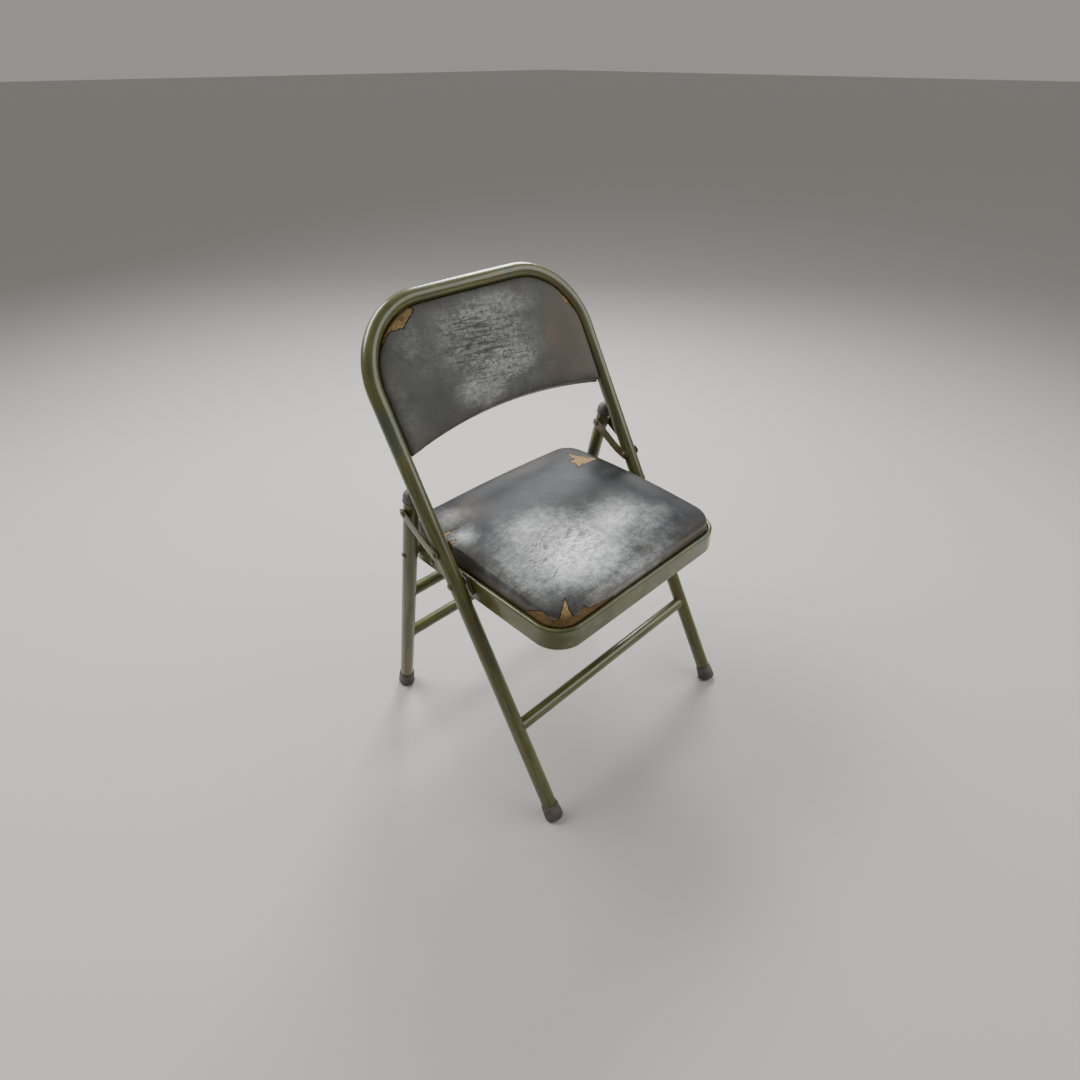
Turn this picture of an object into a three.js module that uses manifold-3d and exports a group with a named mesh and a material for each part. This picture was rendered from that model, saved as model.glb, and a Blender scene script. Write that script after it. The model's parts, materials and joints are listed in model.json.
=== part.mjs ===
// Folding chair: a bent-tube front frame that also carries the backrest, a steel seat pan with a
// padded cushion, a pair of straight rear legs, and flat links that fold the legs up behind the frame.
// Millimetres, +Z up, the sitter faces -Y, +X is on the right when one looks along +Y.
import * as THREE from 'three';
import { mergeVertices } from 'three/addons/utils/BufferGeometryUtils.js';
import Module from 'manifold-3d';

const wasm = await Module();
wasm.setup();

// ---------------------------------------------------------------- driving dimensions
const touchGap = 0.3;              // air left between pieces that touch

// tubes
const legTubeRadius = 12.7;
const legTubeWall = 1.2;
const barRadius = 10.9;
const barWall = 1.2;
const legSpacing = 451.2;          // between the two leg centre lines, front and rear alike
const frameLean = THREE.MathUtils.degToRad(30.18);   // front frame, from upright
const rearLean = THREE.MathUtils.degToRad(12.67);    // rear legs, from upright
const legTopSpread = 34.58;        // front to rear centre lines, level with the rear tubes' ends
const topBarHeight = 753;          // centre line of the top of the bent tube
const bendRadius = 125;            // centre line of its two bends
const frontBarHeight = 154;
const rearUpperBarHeight = 277;
const rearLowerBarHeight = 159;

// feet and caps
const frontFootTop = 27.5;         // along the leg, above the point where its centre line meets the floor
const frontFootLength = 29;
const rearFootTop = 34;
const rearFootLength = 34.5;
const footSoleThickness = 3.5;     // under the lowest edge of the tube
const footSoleRadius = 16;
const footTopRadius = 14.4;
const footRoundOver = 2;
const footRoundInset = 0.6;
const footSoleRounding = 6.5;      // between the foot's side and its end
const footRoundingSteps = 3;
const footFit = 0.25;              // socket to tube
const capRadius = 13.7;
const capSkirt = 5;                // how far a cap reaches down its tube
const capDomeHeight = 13.5;
const capRimBulge = 0.2;
const capRimHeight = 2;
const capDomeStart = 3.5;          // straight side of the cap above the tube's end
const capFit = 0.2;

// pivots, by their height when the chair stands open
const seatPivotHeight = 383;       // seat bracket on the front tube
const legPivotDrop = 5;            // seat bracket on the rear leg, below the seat pivot
const linkLowRise = 48;            // links on the front tube, above the seat pivot
const linkHighRise = 95;           // links on the rear leg, above the leg pivot
const legTopRise = 18;             // end of the rear leg's tube, above the links' upper pivot

// rivets, spacers and links
const rivetRadius = 2.9;
const rivetRunningFit = 0.1;       // round the shank
const rivetHeadRadius = 5.4;
const rivetHeadHeight = 2.4;
const linkThickness = 1.8;
const linkHalfWidth = 8;
const linkKneeShare = 0.27;        // knee of the strap, as a share of the way up its pivots
const linkKneeOffset = 3.5;        // of the knee, behind and below the line through the pivots
const linkCapClearance = 0.6;      // between the links and the caps that swing between them
const linkBossRadius = 4.7;        // coined bosses that bridge the setback at the pivots
const spacerRadius = 7.5;
const sideClearance = 7.6;         // between the pan's skirt and the inner side of the leg tubes

// seat pan
const panFrontReach = 203.5;       // skirt ahead of the seat pivot
const panBackReach = 173.5;        // skirt behind the seat pivot
const panCornerRadius = 48;
const panSkirtDrop = 33;           // skirt's lower edge below the seat pivot
const panRimRise = 4.2;            // rim above the seat pivot
const panRimRadius = 4;
const panRimWidth = 6.8;
const panRimInnerRadius = 1.8;
const panWall = 1.1;
const panFloorDrop = 6;            // rim down to the floor of the recess
const panHemWidth = 8;
const panRimCrest = 0.2;           // cutter's height over the rim where its inner corner is rounded

// seat board, pad and their screws
const boardThickness = 4;
const boardInset = 2;
const seatPadInset = 1.2;          // pad side to the recess wall
const seatPadSide = 21;            // its side, from the board up to the shoulder
const seatPadSideLean = 3.2;       // how far the side leans in over that height
const seatPadCrown = 14.5;          // rise of the crowned top over the shoulder
const seatPadCrownWidth = 95;      // how far in the crown reaches
const seatPadRounding = 2;
const seatTightestCorner = 14;     // corners of outlines drawn far inwards
const seatScrewInsetX = 70;
const seatScrewInsetY = 70;
const screwRadius = 2.2;
const screwHeadRadius = 4.6;
const screwHeadHeight = 2.4;
const screwTip = 1;

// seat brackets
const bracketThickness = 2.2;
const bracketFrontRadius = 10.5;
const bracketRearRadius = 12.5;
const bracketNoseReach = 9;        // centre of the nose, forward of the seat pivot
const bracketNoseDrop = 18;
const bracketNoseRadius = 10;
const bracketBossRadius = 5.5;
const bracketRivetRadius = 2.4;
const bracketRivetHead = 4.6;
const bracketRivetHeight = 1.9;
const bracketRivetStations = [0.06, 0.7];   // shares of the way from seat pivot to leg pivot
const bracketRivetDrop = 11;       // below the line through the two pivots
// the leg pivot's slot: the rivet of the rear leg wanders up in it while the chair folds
const slotStart = [1.4, -0.2];
const slotEnd = [4.0, 9.4];
const slotRadius = 5;
const lowHeadOverlap = 1.9;        // inner rivet head past the slot's half width
const lowHeadBevel = 0.8;

// backrest: along = up the frame's plane, depth = square to it, towards the rear
const backCornerDrop = 225.5;      // lower corners, down the frame from the top bar's centre line
const backArchRise = 25.5;         // the lower edge is an arc that rises to the middle
const backBow = 17;                // how far the middle of the lower edge is set back
const shellThickness = 1;
const shellDepth = 8.8;            // front face of the steel shell behind the frame's plane
const backBoardThickness = 3.5;
const backPadFront = -12;          // front face of the padding
const backPadInset = 1.5;          // lower edges of board and padding, up from the shell's own
const backScrewSpreadX = 130;
const backScrewDrops = [171, 71];  // down the frame from the top bar's centre line
const backScrewLift = 1;           // under the heads, because the shell is bowed

// ---------------------------------------------------------------- derived places
const sideX = legSpacing / 2;
const innerX = sideX - legTubeRadius;
const outerX = sideX + legTubeRadius;
const panHalfWidth = innerX - sideClearance;
const linkSetback = capRadius + capRimBulge + linkCapClearance - legTubeRadius;
// Height of a leg's centre line where the tube, cut square, ends above the foot's sole.
const tubeEndHeight = (lean) => footSoleThickness + legTubeRadius * Math.sin(lean);
const frontAxisY = (z) => -footSpread / 2 + z * Math.tan(frameLean);
const rearAxisY = (z) => footSpread / 2 - z * Math.tan(rearLean);
const frontAxisPoint = (side, z) => new THREE.Vector3(side * sideX, frontAxisY(z), z);
const rearAxisPoint = (side, z) => new THREE.Vector3(side * sideX, rearAxisY(z), z);
const legPivotHeight = seatPivotHeight - legPivotDrop;
const linkLowHeight = seatPivotHeight + linkLowRise;
const linkHighHeight = legPivotHeight + linkHighRise;
const rearTubeTop = linkHighHeight + legTopRise;
// floor distance between front and rear leg centre lines
const footSpread = legTopSpread + rearTubeTop * (Math.tan(frameLean) + Math.tan(rearLean));
const topAlong = topBarHeight / Math.cos(frameLean);
const backCornerAlong = topAlong - backCornerDrop;
const seatPivot = { y: frontAxisY(seatPivotHeight), z: seatPivotHeight };
const legPivot = { y: rearAxisY(legPivotHeight), z: legPivotHeight };
const linkLow = { y: frontAxisY(linkLowHeight), z: linkLowHeight };
const linkHigh = { y: rearAxisY(linkHighHeight), z: linkHighHeight };
const panFrontY = seatPivot.y - panFrontReach;
const panBackY = seatPivot.y + panBackReach;
const panSkirtBottom = seatPivotHeight - panSkirtDrop;
const panRimTop = seatPivotHeight + panRimRise;
const panFloorTop = panRimTop - panFloorDrop;
const panFloorUnder = panFloorTop - panWall;
const boardBottom = panFloorTop + touchGap;
const boardTop = boardBottom + boardThickness;
const padBottom = boardTop + touchGap;
const bracketOuterFace = panHalfWidth + sideClearance - linkSetback - linkThickness - touchGap;
const bracketInnerFace = bracketOuterFace - bracketThickness;

const cutBeyond = 2;               // how far a cutter runs past what it cuts

// ---------------------------------------------------------------- solids
function toSolid(geometry) {
  const plain = geometry.clone();
  plain.deleteAttribute('normal');
  plain.deleteAttribute('uv');
  const merged = mergeVertices(plain, 1e-4);
  return new wasm.Manifold(new wasm.Mesh({
    numProp: 3,
    vertProperties: new Float32Array(merged.attributes.position.array),
    triVerts: new Uint32Array(merged.index.array),
  }));
}

function toGeometry(solid) {
  const mesh = solid.getMesh();
  const geometry = new THREE.BufferGeometry();
  geometry.setAttribute('position', new THREE.BufferAttribute(mesh.vertProperties, 3));
  geometry.setIndex(new THREE.BufferAttribute(mesh.triVerts, 1));
  return geometry;
}

// Radius of a faceted cutter whose flats clear a shank of this radius by the running fit.
const holeSegments = 12;
const holeFor = (shankRadius) => (shankRadius + rivetRunningFit) / Math.cos(Math.PI / holeSegments);

// Round bar from one point to another.
function rod(from, to, radius, segments = 20) {
  const along = new THREE.Vector3().subVectors(to, from);
  const geometry = new THREE.CylinderGeometry(radius, radius, along.length(), segments);
  const axis = new THREE.Vector3(0, 1, 0);
  geometry.applyQuaternion(new THREE.Quaternion().setFromUnitVectors(axis, along.clone().normalize()));
  geometry.translate((from.x + to.x) / 2, (from.y + to.y) / 2, (from.z + to.z) / 2);
  return toSolid(geometry);
}

// Round bar along X through a pivot, from one x to another.
function crossRod(xFrom, xTo, pivot, radius, segments = holeSegments) {
  const from = new THREE.Vector3(xFrom, pivot.y, pivot.z);
  const to = new THREE.Vector3(xTo, pivot.y, pivot.z);
  return rod(from, to, radius, segments);
}

// Straight tube, open at both ends.
function pipe(from, to, radius, wall) {
  const beyond = new THREE.Vector3().subVectors(to, from).setLength(cutBeyond);
  const bore = rod(from.clone().sub(beyond), to.clone().add(beyond), radius - wall);
  return rod(from, to, radius).subtract(bore);
}

// Lathe solid whose profile runs up its axis, set on a point and turned to a direction.
function turned(profile, at, direction, segments = 20) {
  const points = profile.map(([radius, height]) => new THREE.Vector2(radius, height));
  const geometry = new THREE.LatheGeometry(points, segments);
  geometry.applyQuaternion(new THREE.Quaternion().setFromUnitVectors(new THREE.Vector3(0, 1, 0), direction));
  geometry.translate(at.x, at.y, at.z);
  return toSolid(geometry);
}

// Flat plate: an outline in the YZ plane, from one x to another.
function sidePlate(shape, xFrom, xTo, curveSegments = 4) {
  const depth = Math.abs(xTo - xFrom);
  const geometry = new THREE.ExtrudeGeometry(shape, { depth, bevelEnabled: false, curveSegments });
  const toSide = new THREE.Matrix4().set(0, 0, 1, Math.min(xFrom, xTo), 1, 0, 0, 0, 0, 1, 0, 0, 0, 0, 0, 1);
  geometry.applyMatrix4(toSide);
  return toSolid(geometry);
}

// Outline with two round ends: circles of the two radii, joined by their outer tangents.
function capsule(a, b, radiusA, radiusB) {
  const angle = Math.atan2(b.z - a.z, b.y - a.y);
  const half = Math.acos((radiusA - radiusB) / Math.hypot(b.y - a.y, b.z - a.z));
  const shape = new THREE.Shape();
  shape.absarc(a.y, a.z, radiusA, angle + half, angle - half + 2 * Math.PI, false);
  shape.absarc(b.y, b.z, radiusB, angle - half, angle + half, false);
  return shape;
}

// Rounded rectangle of the seat, drawn inwards from the pan's outline by an inset.
function seatOutline(inset) {
  const halfWidth = panHalfWidth - inset;
  const front = panFrontY + inset;
  const back = panBackY - inset;
  const radius = Math.max(panCornerRadius - inset, seatTightestCorner);
  const shape = new THREE.Shape();
  shape.absarc(halfWidth - radius, back - radius, radius, 0, Math.PI / 2, false);
  shape.absarc(-halfWidth + radius, back - radius, radius, Math.PI / 2, Math.PI, false);
  shape.absarc(-halfWidth + radius, front + radius, radius, Math.PI, 1.5 * Math.PI, false);
  shape.absarc(halfWidth - radius, front + radius, radius, 1.5 * Math.PI, 2 * Math.PI, false);
  return shape;
}

// Slab of the seat's outline between two heights.
function seatSlab(inset, low, high, curveSegments = 4) {
  const settings = { depth: high - low, bevelEnabled: false, curveSegments };
  const geometry = new THREE.ExtrudeGeometry(seatOutline(inset), settings);
  geometry.translate(0, 0, low);
  return toSolid(geometry);
}

// Closed solid lofted through level outlines of the seat: pairs of inset and height, lowest first.
function seatLoft(levels, curveSegments = 4) {
  const rings = levels.map(([inset]) => seatOutline(inset).extractPoints(curveSegments).shape);
  const count = rings[0].length;
  const positions = [];
  rings.forEach((ring, level) => ring.forEach(({ x, y }) => positions.push(x, y, levels[level][1])));
  const indices = [];
  for (let level = 0; level < rings.length - 1; level += 1) {
    for (let i = 0; i < count; i += 1) {
      const a = level * count + i;
      const b = level * count + (i + 1) % count;
      indices.push(a, b, b + count, a, b + count, a + count);
    }
  }
  const middleY = (panFrontY + panBackY) / 2;
  const bottomCentre = positions.length / 3;
  positions.push(0, middleY, levels[0][1], 0, middleY, levels[levels.length - 1][1]);
  const topRing = (rings.length - 1) * count;
  for (let i = 0; i < count; i += 1) {
    const next = (i + 1) % count;
    indices.push(bottomCentre, next, i, bottomCentre + 1, topRing + i, topRing + next);
  }
  const geometry = new THREE.BufferGeometry();
  geometry.setAttribute('position', new THREE.Float32BufferAttribute(positions, 3));
  geometry.setIndex(indices);
  return toSolid(geometry);
}

// ---------------------------------------------------------------- materials
const paint = { color: 0x646241, roughness: 0.38, metalness: 0.35 };
const vinyl = { color: 0x6e7373, roughness: 0.5, metalness: 0 };
const rubber = { color: 0x55504a, roughness: 0.75, metalness: 0 };
const fibreboard = { color: 0xb0875a, roughness: 0.9, metalness: 0 };
const bareSteel = { color: 0x8b8a84, roughness: 0.45, metalness: 0.9 };

const chair = new THREE.Group();

function addPart(name, solid, look) {
  const mesh = new THREE.Mesh(toGeometry(solid), new THREE.MeshStandardMaterial(look));
  mesh.name = name;
  chair.add(mesh);
}

// ---------------------------------------------------------------- front frame
const bendSteps = 8;               // facets of each bend, shared by all that fits into it

// Centre line of the bent tube: straight leg, bend, top bar, bend, straight leg. Its stations lie
// only where the tube bends, so the straight stretches stay one step long.
class FrameLine extends THREE.Curve {
  constructor(endExtra) {
    super();
    const startAlong = tubeEndHeight(frameLean) / Math.cos(frameLean) - endExtra;
    const cornerAlong = topAlong - bendRadius;
    const cornerX = sideX - bendRadius;
    this.stations = [{ x: -sideX, along: startAlong, turn: Math.PI / 2 }];
    for (let i = 0; i <= bendSteps; i += 1) {
      const angle = Math.PI - (i / bendSteps) * Math.PI / 2;
      this.stations.push({
        x: -cornerX + bendRadius * Math.cos(angle),
        along: cornerAlong + bendRadius * Math.sin(angle),
        turn: angle - Math.PI / 2,
      });
    }
    for (let i = 0; i <= bendSteps; i += 1) {
      const angle = Math.PI / 2 - (i / bendSteps) * Math.PI / 2;
      this.stations.push({
        x: cornerX + bendRadius * Math.cos(angle),
        along: cornerAlong + bendRadius * Math.sin(angle),
        turn: angle - Math.PI / 2,
      });
    }
    this.stations.push({ x: sideX, along: startAlong, turn: -Math.PI / 2 });
  }

  station(u) {
    return this.stations[Math.round(u * (this.stations.length - 1))];
  }

  getPointAt(u, target = new THREE.Vector3()) {
    const { x, along } = this.station(u);
    return target.set(x, along * Math.sin(frameLean) - footSpread / 2, along * Math.cos(frameLean));
  }

  getPoint(t, target) {
    return this.getPointAt(t, target);
  }

  getTangentAt(u, target = new THREE.Vector3()) {
    const { turn } = this.station(u);
    const rise = Math.sin(turn);
    return target.set(Math.cos(turn), rise * Math.sin(frameLean), rise * Math.cos(frameLean));
  }
}

function frameSolid(radius, endExtra = 0) {
  const line = new FrameLine(endExtra);
  const section = new THREE.Shape().absarc(0, 0, radius, 0, 2 * Math.PI, false);
  const steps = line.stations.length - 1;
  return toSolid(new THREE.ExtrudeGeometry(section, { extrudePath: line, steps, curveSegments: 10 }));
}

const holeRadius = holeFor(rivetRadius);
const sides = [['left', -1], ['right', 1]];

// Cutter for a rivet's hole through both walls of a leg.
function throughLeg(side, pivot) {
  return crossRod(side * (innerX - cutBeyond), side * (outerX + cutBeyond), pivot, holeRadius);
}

let frameTube = frameSolid(legTubeRadius).subtract(frameSolid(legTubeRadius - legTubeWall, cutBeyond));
for (const [, side] of sides) {
  for (const pivot of [seatPivot, linkLow]) {
    frameTube = frameTube.subtract(throughLeg(side, pivot));
  }
}
addPart('main_frame_tube', frameTube, paint);

// A bar between two legs of one frame, its ends coped to the legs.
function legBar(axisPoint, height) {
  const bar = pipe(axisPoint(-1, height), axisPoint(1, height), barRadius, barWall);
  const cope = (side) => rod(
    axisPoint(side, height - 4 * barRadius),
    axisPoint(side, height + 4 * barRadius),
    legTubeRadius + touchGap,
  );
  return bar.subtract(cope(-1)).subtract(cope(1));
}

addPart('front_cross_bar', legBar(frontAxisPoint, frontBarHeight), paint);

// ---------------------------------------------------------------- rear frame
for (const [label, side] of sides) {
  const lowEnd = rearAxisPoint(side, tubeEndHeight(rearLean));
  const topEnd = rearAxisPoint(side, rearTubeTop);
  let leg = pipe(lowEnd, topEnd, legTubeRadius, legTubeWall);
  for (const pivot of [legPivot, linkHigh]) {
    leg = leg.subtract(throughLeg(side, pivot));
  }
  addPart(`${label}_rear_leg`, leg, paint);
}
addPart('rear_upper_bar', legBar(rearAxisPoint, rearUpperBarHeight), paint);
addPart('rear_lower_bar', legBar(rearAxisPoint, rearLowerBarHeight), paint);

// ---------------------------------------------------------------- feet and caps
// Tapered foot with a socket for the tube. Its end is square to the leg with a rounded edge, and is worn
// level where it stands on the floor.
function foot(axisPoint, lean, side, top, length) {
  const base = axisPoint(side, 0);
  const up = axisPoint(side, 100).sub(base).normalize();
  const end = top - length;
  const socketFloor = tubeEndHeight(lean) / up.z - touchGap;
  const bore = legTubeRadius + footFit;
  const profile = [[0, end]];
  for (let i = 0; i <= footRoundingSteps; i += 1) {
    const angle = (i / footRoundingSteps) * Math.PI / 2;
    profile.push([
      footSoleRadius - footSoleRounding * (1 - Math.sin(angle)),
      end + footSoleRounding * (1 - Math.cos(angle)),
    ]);
  }
  profile.push(
    [footTopRadius, top - footRoundOver],
    [footTopRadius - footRoundInset, top],
    [bore, top],
    [bore, socketFloor],
    [0, socketFloor],
  );
  const floorSize = 6 * footSoleRadius;
  const floor = new THREE.BoxGeometry(floorSize, floorSize, floorSize);
  floor.translate(base.x, base.y, -floorSize / 2);
  return turned(profile, base, up).subtract(toSolid(floor));
}

for (const [label, side] of sides) {
  const front = foot(frontAxisPoint, frameLean, side, frontFootTop, frontFootLength);
  const rear = foot(rearAxisPoint, rearLean, side, rearFootTop, rearFootLength);
  addPart(`front_${label}_foot`, front, rubber);
  addPart(`rear_${label}_foot`, rear, rubber);
}

// Domed cap over the top end of a rear leg: a skirt with a small rim, then a quarter-ellipse dome.
function legCap(side) {
  const base = rearAxisPoint(side, rearTubeTop);
  const up = rearAxisPoint(side, rearTubeTop + 100).sub(base).normalize();
  const bore = legTubeRadius + capFit;
  const domeSteps = 5;
  const profile = [
    [0, touchGap],
    [bore, touchGap],
    [bore, -capSkirt],
    [capRadius + capRimBulge, -capSkirt],
    [capRadius + capRimBulge, -capSkirt + capRimHeight],
    [capRadius, -capSkirt + capRimHeight + 2 * capRimBulge],
  ];
  for (let i = 0; i <= domeSteps; i += 1) {
    const angle = (i / domeSteps) * Math.PI / 2;
    profile.push([capRadius * Math.cos(angle), capDomeStart + capDomeHeight * Math.sin(angle)]);
  }
  profile[profile.length - 1][0] = 0;
  return turned(profile, base, up);
}

for (const [label, side] of sides) {
  addPart(`rear_${label}_cap`, legCap(side), rubber);
}

// ---------------------------------------------------------------- links
const linkInnerX = innerX - linkSetback;
const linkOuterX = outerX + linkSetback;
const linkRise = { y: linkHigh.y - linkLow.y, z: linkHigh.z - linkLow.z };
const linkLength = Math.hypot(linkRise.y, linkRise.z);
const linkKnee = {
  y: linkLow.y + linkKneeShare * linkRise.y + linkKneeOffset * linkRise.z / linkLength,
  z: linkLow.z + linkKneeShare * linkRise.z - linkKneeOffset * linkRise.y / linkLength,
};
for (const [label, side] of sides) {
  const faces = [
    ['outer', linkOuterX, linkOuterX + linkThickness],
    ['inner', linkInnerX - linkThickness, linkInnerX],
  ];
  for (const [face, xFrom, xTo] of faces) {
    const outline = (a, b) => capsule(a, b, linkHalfWidth, linkHalfWidth);
    const stretch = (a, b) => sidePlate(outline(a, b), side * xFrom, side * xTo);
    let strap = stretch(linkLow, linkKnee).add(stretch(linkKnee, linkHigh));
    const bossFrom = face === 'outer' ? outerX + touchGap : innerX - touchGap;
    const bossTo = face === 'outer' ? xFrom + linkThickness / 2 : xTo - linkThickness / 2;
    for (const pivot of [linkLow, linkHigh]) {
      strap = strap.add(crossRod(side * bossFrom, side * bossTo, pivot, linkBossRadius));
      const cutFrom = Math.min(xFrom, bossFrom, bossTo) - cutBeyond;
      const cutTo = Math.max(xTo, bossFrom, bossTo) + cutBeyond;
      strap = strap.subtract(crossRod(side * cutFrom, side * cutTo, pivot, holeRadius));
    }
    addPart(`${label}_${face}_link`, strap, paint);
  }
}

// ---------------------------------------------------------------- pivot rivets
const pivotRivetSize = { headRadius: rivetHeadRadius, shank: rivetRadius, head: rivetHeadHeight };
const bracketRivetSize = {
  headRadius: bracketRivetHead,
  shank: bracketRivetRadius,
  head: bracketRivetHeight,
};

// A set rivet is one body: an inner head, the shank, and an outer head, both heads low domes.
function rivet(side, pivot, xInner, xOuter, size = pivotRivetSize) {
  const { headRadius, shank, head } = size;
  const length = xOuter - xInner;
  const profile = [
    [0, -head],
    [headRadius * 0.55, -head * 0.85],
    [headRadius * 0.9, -head * 0.45],
    [headRadius, 0],
    [shank, 0],
    [shank, length],
    [headRadius, length],
    [headRadius * 0.9, length + head * 0.45],
    [headRadius * 0.55, length + head * 0.85],
    [0, length + head],
  ];
  const at = new THREE.Vector3(side * xInner, pivot.y, pivot.z);
  return turned(profile, at, new THREE.Vector3(side, 0, 0), 12);
}

function ring(side, pivot, xInner, xOuter, radius) {
  const outer = crossRod(side * xInner, side * xOuter, pivot, radius);
  return outer.subtract(crossRod(side * (xInner - 1), side * (xOuter + 1), pivot, holeRadius));
}

const linkRivetInner = linkInnerX - linkThickness - touchGap;
const linkRivetOuter = linkOuterX + linkThickness + touchGap;
const bracketRivetInner = bracketInnerFace - touchGap;
const lowHead = bracketInnerFace - touchGap - panHalfWidth - touchGap;
const lowHeadRadius = slotRadius + lowHeadOverlap;
for (const [label, side] of sides) {
  addPart(`${label}_link_front_rivet`, rivet(side, linkLow, linkRivetInner, linkRivetOuter), paint);
  addPart(`${label}_link_rear_rivet`, rivet(side, linkHigh, linkRivetInner, linkRivetOuter), paint);
  for (const [name, pivot] of [['seat_pivot', seatPivot], ['leg_pivot', legPivot]]) {
    const spacer = ring(side, pivot, bracketOuterFace + touchGap, innerX - touchGap, spacerRadius);
    addPart(`${label}_${name}_rivet`, pivotRivet(side, pivot), paint);
    addPart(`${label}_${name}_spacer`, spacer, bareSteel);
  }
}

// Seat and leg pivots run from the bracket through the tube; the inner head is a thin disc,
// because it turns between the bracket and the skirt of the pan.
function pivotRivet(side, pivot) {
  const head = rivetHeadHeight;
  const length = outerX + touchGap - bracketRivetInner;
  const profile = [
    [0, -lowHead],
    [lowHeadRadius - lowHeadBevel, -lowHead],
    [lowHeadRadius, -lowHead * 0.5],
    [lowHeadRadius, 0],
    [rivetRadius, 0],
    [rivetRadius, length],
    [rivetHeadRadius, length],
    [rivetHeadRadius * 0.9, length + head * 0.45],
    [rivetHeadRadius * 0.55, length + head * 0.85],
    [0, length + head],
  ];
  const at = new THREE.Vector3(side * bracketRivetInner, pivot.y, pivot.z);
  return turned(profile, at, new THREE.Vector3(side, 0, 0), 12);
}

// ---------------------------------------------------------------- seat pan
const bracketRivetPoints = bracketRivetStations.map((share) => ({
  y: seatPivot.y + share * (legPivot.y - seatPivot.y),
  z: seatPivot.z + share * (legPivot.z - seatPivot.z) - bracketRivetDrop,
}));
const seatScrewPoints = [];
for (const sx of [-1, 1]) {
  for (const y of [panFrontY + seatScrewInsetY, panBackY - seatScrewInsetY]) {
    seatScrewPoints.push({ x: sx * (panHalfWidth - seatScrewInsetX), y });
  }
}

// One pressed sheet: skirt with a hem turned in at the bottom, rounded rim, recess and floor.
function seatPan() {
  const outside = [[0, panSkirtBottom]];
  const rimSteps = 4;
  for (let i = 0; i <= rimSteps; i += 1) {
    const angle = (i / rimSteps) * Math.PI / 2;
    outside.push([
      panRimRadius * (1 - Math.cos(angle)),
      panRimTop - panRimRadius * (1 - Math.sin(angle)),
    ]);
  }
  const recess = [
    [panRimWidth, panFloorTop],
    [panRimWidth, panRimTop - panRimInnerRadius],
    [panRimWidth - panRimInnerRadius, panRimTop + panRimCrest],
    [panRimWidth - panRimInnerRadius, panRimTop + cutBeyond],
  ];
  const underside = [
    [panHemWidth, panSkirtBottom - cutBeyond],
    [panHemWidth, panSkirtBottom + panWall],
    [panWall, panSkirtBottom + panWall],
    [panWall, panFloorUnder],
  ];
  let pan = seatLoft(outside).subtract(seatLoft(recess)).subtract(seatLoft(underside));
  for (const side of [-1, 1]) {
    for (const point of bracketRivetPoints) {
      const hole = holeFor(bracketRivetRadius);
      const from = side * (panHalfWidth - panWall - cutBeyond);
      pan = pan.subtract(crossRod(from, side * (panHalfWidth + cutBeyond), point, hole));
    }
  }
  for (const { x, y } of seatScrewPoints) {
    const low = new THREE.Vector3(x, y, panFloorUnder - cutBeyond);
    const high = new THREE.Vector3(x, y, panFloorTop + cutBeyond);
    pan = pan.subtract(rod(low, high, holeFor(screwRadius), holeSegments));
  }
  return pan;
}
addPart('seat_pan', seatPan(), paint);

// Fibreboard base of the cushion, with pilot holes for the screws.
let board = seatSlab(panRimWidth + boardInset, boardBottom, boardTop);
for (const { x, y } of seatScrewPoints) {
  const low = new THREE.Vector3(x, y, boardBottom - cutBeyond);
  const high = new THREE.Vector3(x, y, boardTop + cutBeyond);
  board = board.subtract(rod(low, high, holeFor(screwRadius), holeSegments));
}
addPart('seat_board', board, fibreboard);

// The cushion: a side that leans in, then a crown that rises inwards as a wide quarter ellipse.
function seatPad() {
  const inset = panRimWidth + seatPadInset;
  const shoulder = padBottom + seatPadSide;
  const crownSteps = 6;
  const levels = [[inset + seatPadRounding, padBottom], [inset, padBottom + seatPadRounding]];
  for (let i = 0; i <= crownSteps; i += 1) {
    const angle = (i / crownSteps) * Math.PI / 2;
    levels.push([
      inset + seatPadSideLean + seatPadCrownWidth * (1 - Math.cos(angle)),
      shoulder + seatPadCrown * Math.sin(angle),
    ]);
  }
  return seatLoft(levels);
}
addPart('seat_pad', seatPad(), vinyl);

// Screw from below the pan's floor into the board.
seatScrewPoints.forEach(({ x, y }, index) => {
  const profile = [
    [0, -screwHeadHeight],
    [screwHeadRadius * 0.6, -screwHeadHeight],
    [screwHeadRadius, -screwHeadHeight * 0.4],
    [screwHeadRadius, 0],
    [screwRadius, 0],
    [screwRadius, panWall + boardThickness - screwTip],
    [0, panWall + boardThickness],
  ];
  const at = new THREE.Vector3(x, y, panFloorUnder - touchGap);
  addPart(`seat_screw_${index + 1}`, turned(profile, at, new THREE.Vector3(0, 0, 1), 10), bareSteel);
});

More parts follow.
